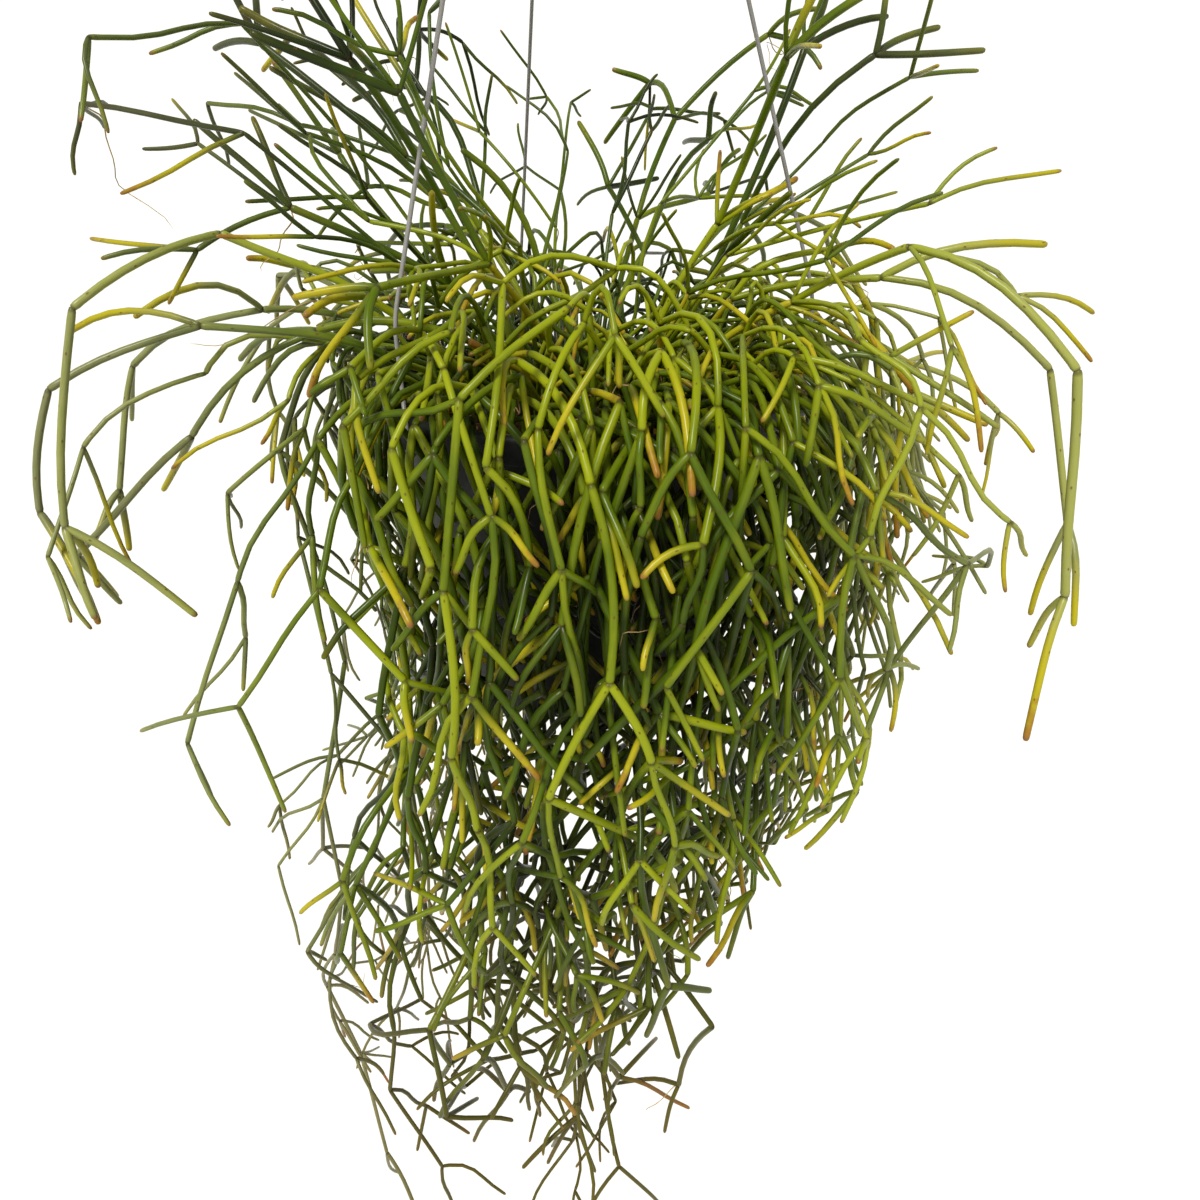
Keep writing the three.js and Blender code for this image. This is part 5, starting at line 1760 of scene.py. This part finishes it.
def crumbled(grid):
    """Lifts the soil's top by draws smoothed over their neighbours, and not at all at its edge."""
    draws = soil_numbers.uniform(-1, 1, grid.shape[:2])
    lift = draws.copy()
    for steps, axis, share in CRUMB_SHARES:
        lift += np.roll(draws, steps, axis) * share
    away = np.linalg.norm(grid[..., :2], axis=-1)
    edge = soil_edge(SOIL_TOP)
    top = (grid[..., 2] > SOIL_TOP - 0.5) * ramp(away, edge, edge - LEVEL_EDGE) * ramp(away, 0, LEVEL_MIDDLE)
    grid[..., 2] += lift * top * CRUMB_HEIGHT / 2
    return grid


soil_floor = FLOOR - POT_HEIGHT + GAP
shares = np.linspace(1, 0, SOIL_RINGS)
chamfer_top = soil_floor + SOIL_CHAMFER
soil_profile = [(0, soil_floor), (soil_edge(soil_floor) - SOIL_CHAMFER, soil_floor),
                (soil_edge(chamfer_top), chamfer_top)]
soil_profile += [(soil_edge(SOIL_TOP) * share, SOIL_TOP + SOIL_DOME * (1 - share ** 2)) for share in shares]
soil = turned_piece("soil_fill", soil_profile, SOIL_SIDES, peat_skin, crumbled)
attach(soil, "root")
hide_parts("soil")

# %% Bark chips on the soil
CHIPS = 900
CHIP_SIDES, CHIP_RINGS = 6, 3
CHIP_LENGTHS = (1.4, 4.6)
CHIP_SHAPE = (0.5, 0.32, 0.16)
CHIP_ROUGHNESS = (0.75, 1.15)
CHIP_TILT = 0.35
CHIP_RISES = (0.1, 0.9)
CHIPS_TO_WALL = 3


def bark_chips():
    """Balls of rings at sin and cos of even angles, roughened, stretched along three sides and turned."""
    polar = np.linspace(0, math.pi, CHIP_RINGS + 2)
    path = np.broadcast_to(np.stack([0 * polar, 0 * polar, -np.cos(polar)], 1), (CHIPS, CHIP_RINGS + 2, 3))
    upward = np.broadcast_to([0.0, 0, 1], path.shape)
    radius = np.broadcast_to(np.sin(polar), (CHIPS, CHIP_RINGS + 2))
    balls = ring_tubes(path, upward, radius, np.tile([1.0, 0, 0], (CHIPS, 1)), CHIP_SIDES)
    balls = balls * soil_numbers.uniform(*CHIP_ROUGHNESS, balls.shape[:2])[..., None]
    length = soil_numbers.uniform(*CHIP_LENGTHS, CHIPS) * soil_numbers.uniform(0.5, 1, CHIPS)
    x, y, z = np.moveaxis(balls * (length[:, None] * CHIP_SHAPE)[:, None], -1, 0)
    spin, tilt = soil_numbers.uniform(0, 2 * math.pi, CHIPS), soil_numbers.normal(0, CHIP_TILT, CHIPS)
    x, z = turned(x, z, tilt[:, None])
    x, y = turned(x, y, spin[:, None])
    away = (soil_edge(SOIL_TOP) - CHIPS_TO_WALL) * np.sqrt(soil_numbers.uniform(0, 1, CHIPS))
    around = soil_numbers.uniform(0, 2 * math.pi, CHIPS)
    dome = SOIL_DOME * (1 - (away / soil_edge(SOIL_TOP)) ** 2)
    rise = SOIL_TOP + dome + soil_numbers.uniform(*CHIP_RISES, CHIPS)
    place = np.stack([away * np.cos(around), away * np.sin(around), rise], 1)
    return np.stack([x, y, z], -1) + place[:, None]


chips = make_mesh("bark_chips", bark_chips().reshape(-1, 3), tube_faces(CHIPS, CHIP_RINGS, CHIP_SIDES)[0],
                  bark_skin, smooth=False)
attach(chips, "root")
print("soil", len(soil.data.polygons), "faces, chips", len(chips.data.polygons))

# %% [markdown]
# ## Dried roots
#
# Old stems put out thin roots into the air, which dry to tan threads. Each hangs from a joint: straight
# down at first, with two waves of different length that grow towards its end. Blender's hair would be the
# quick way to draw them, but as thin tubes they are part of the mesh and show in every viewer.

# %% Thin dried roots that hang from joints
ROOTS = 90
ROOT_STATIONS = 15
ROOT_LENGTHS = (8, 30)
ROOT_SIDES = 5
ROOT_RADII = (0.24, 0.1)
ROOT_LEAN = 0.45
ROOT_TURNS = (3, 9)
ROOT_WAVE, ROOT_WAVE_GROWTH = 0.2, 0.6
RIPPLE, RIPPLE_TURNS = 0.35, 2.3
ROOTS_FRONT, ROOTS_SIDE = -98, 140
root_numbers = np.random.default_rng(23)


def hanging_roots():
    """Paths P + L t D + w(t): D leans a little from straight down, w is a sum of waves that grow with t."""
    forking = [segment["end"] for shoot in frame_shoots + fill_shoots for segment in shoot["segments"][1:]
               if not segment["is_tip"]]
    x, y, _ = np.transpose(forking)
    joints = np.array(forking)[(y > ROOTS_FRONT) & (abs(x) < ROOTS_SIDE)]
    start = joints[root_numbers.choice(len(joints), ROOTS, replace=False)]
    length = root_numbers.uniform(*ROOT_LENGTHS, ROOTS)[:, None, None]
    lean = root_numbers.normal(0, ROOT_LEAN, (ROOTS, 1, 3)) - (0, 0, 1)
    t = np.linspace(0, 1, ROOT_STATIONS)[None, :, None]
    turns = root_numbers.uniform(*ROOT_TURNS, (ROOTS, 1, 3))
    phase = root_numbers.uniform(0, 2 * math.pi, (ROOTS, 1, 3))
    wave = np.sin(turns * t + phase) - np.sin(phase) + RIPPLE * np.sin(RIPPLE_TURNS * turns * t)
    return start[:, None] + length * (t * lean + ROOT_WAVE * wave * t ** ROOT_WAVE_GROWTH)


root_paths = hanging_roots()
root_radius = np.broadcast_to(np.linspace(*ROOT_RADII, ROOT_STATIONS), root_paths.shape[:2])
root_normals = unit_rows(np.cross(root_numbers.normal(0, 1, (ROOTS, 3)), (0, 0, 1.0)))
dried = tube_piece("dried_roots", root_paths, root_radius, root_normals, ROOT_SIDES, root_skin)
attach(dried, "root")
print("dried roots", len(dried.data.polygons), "faces")
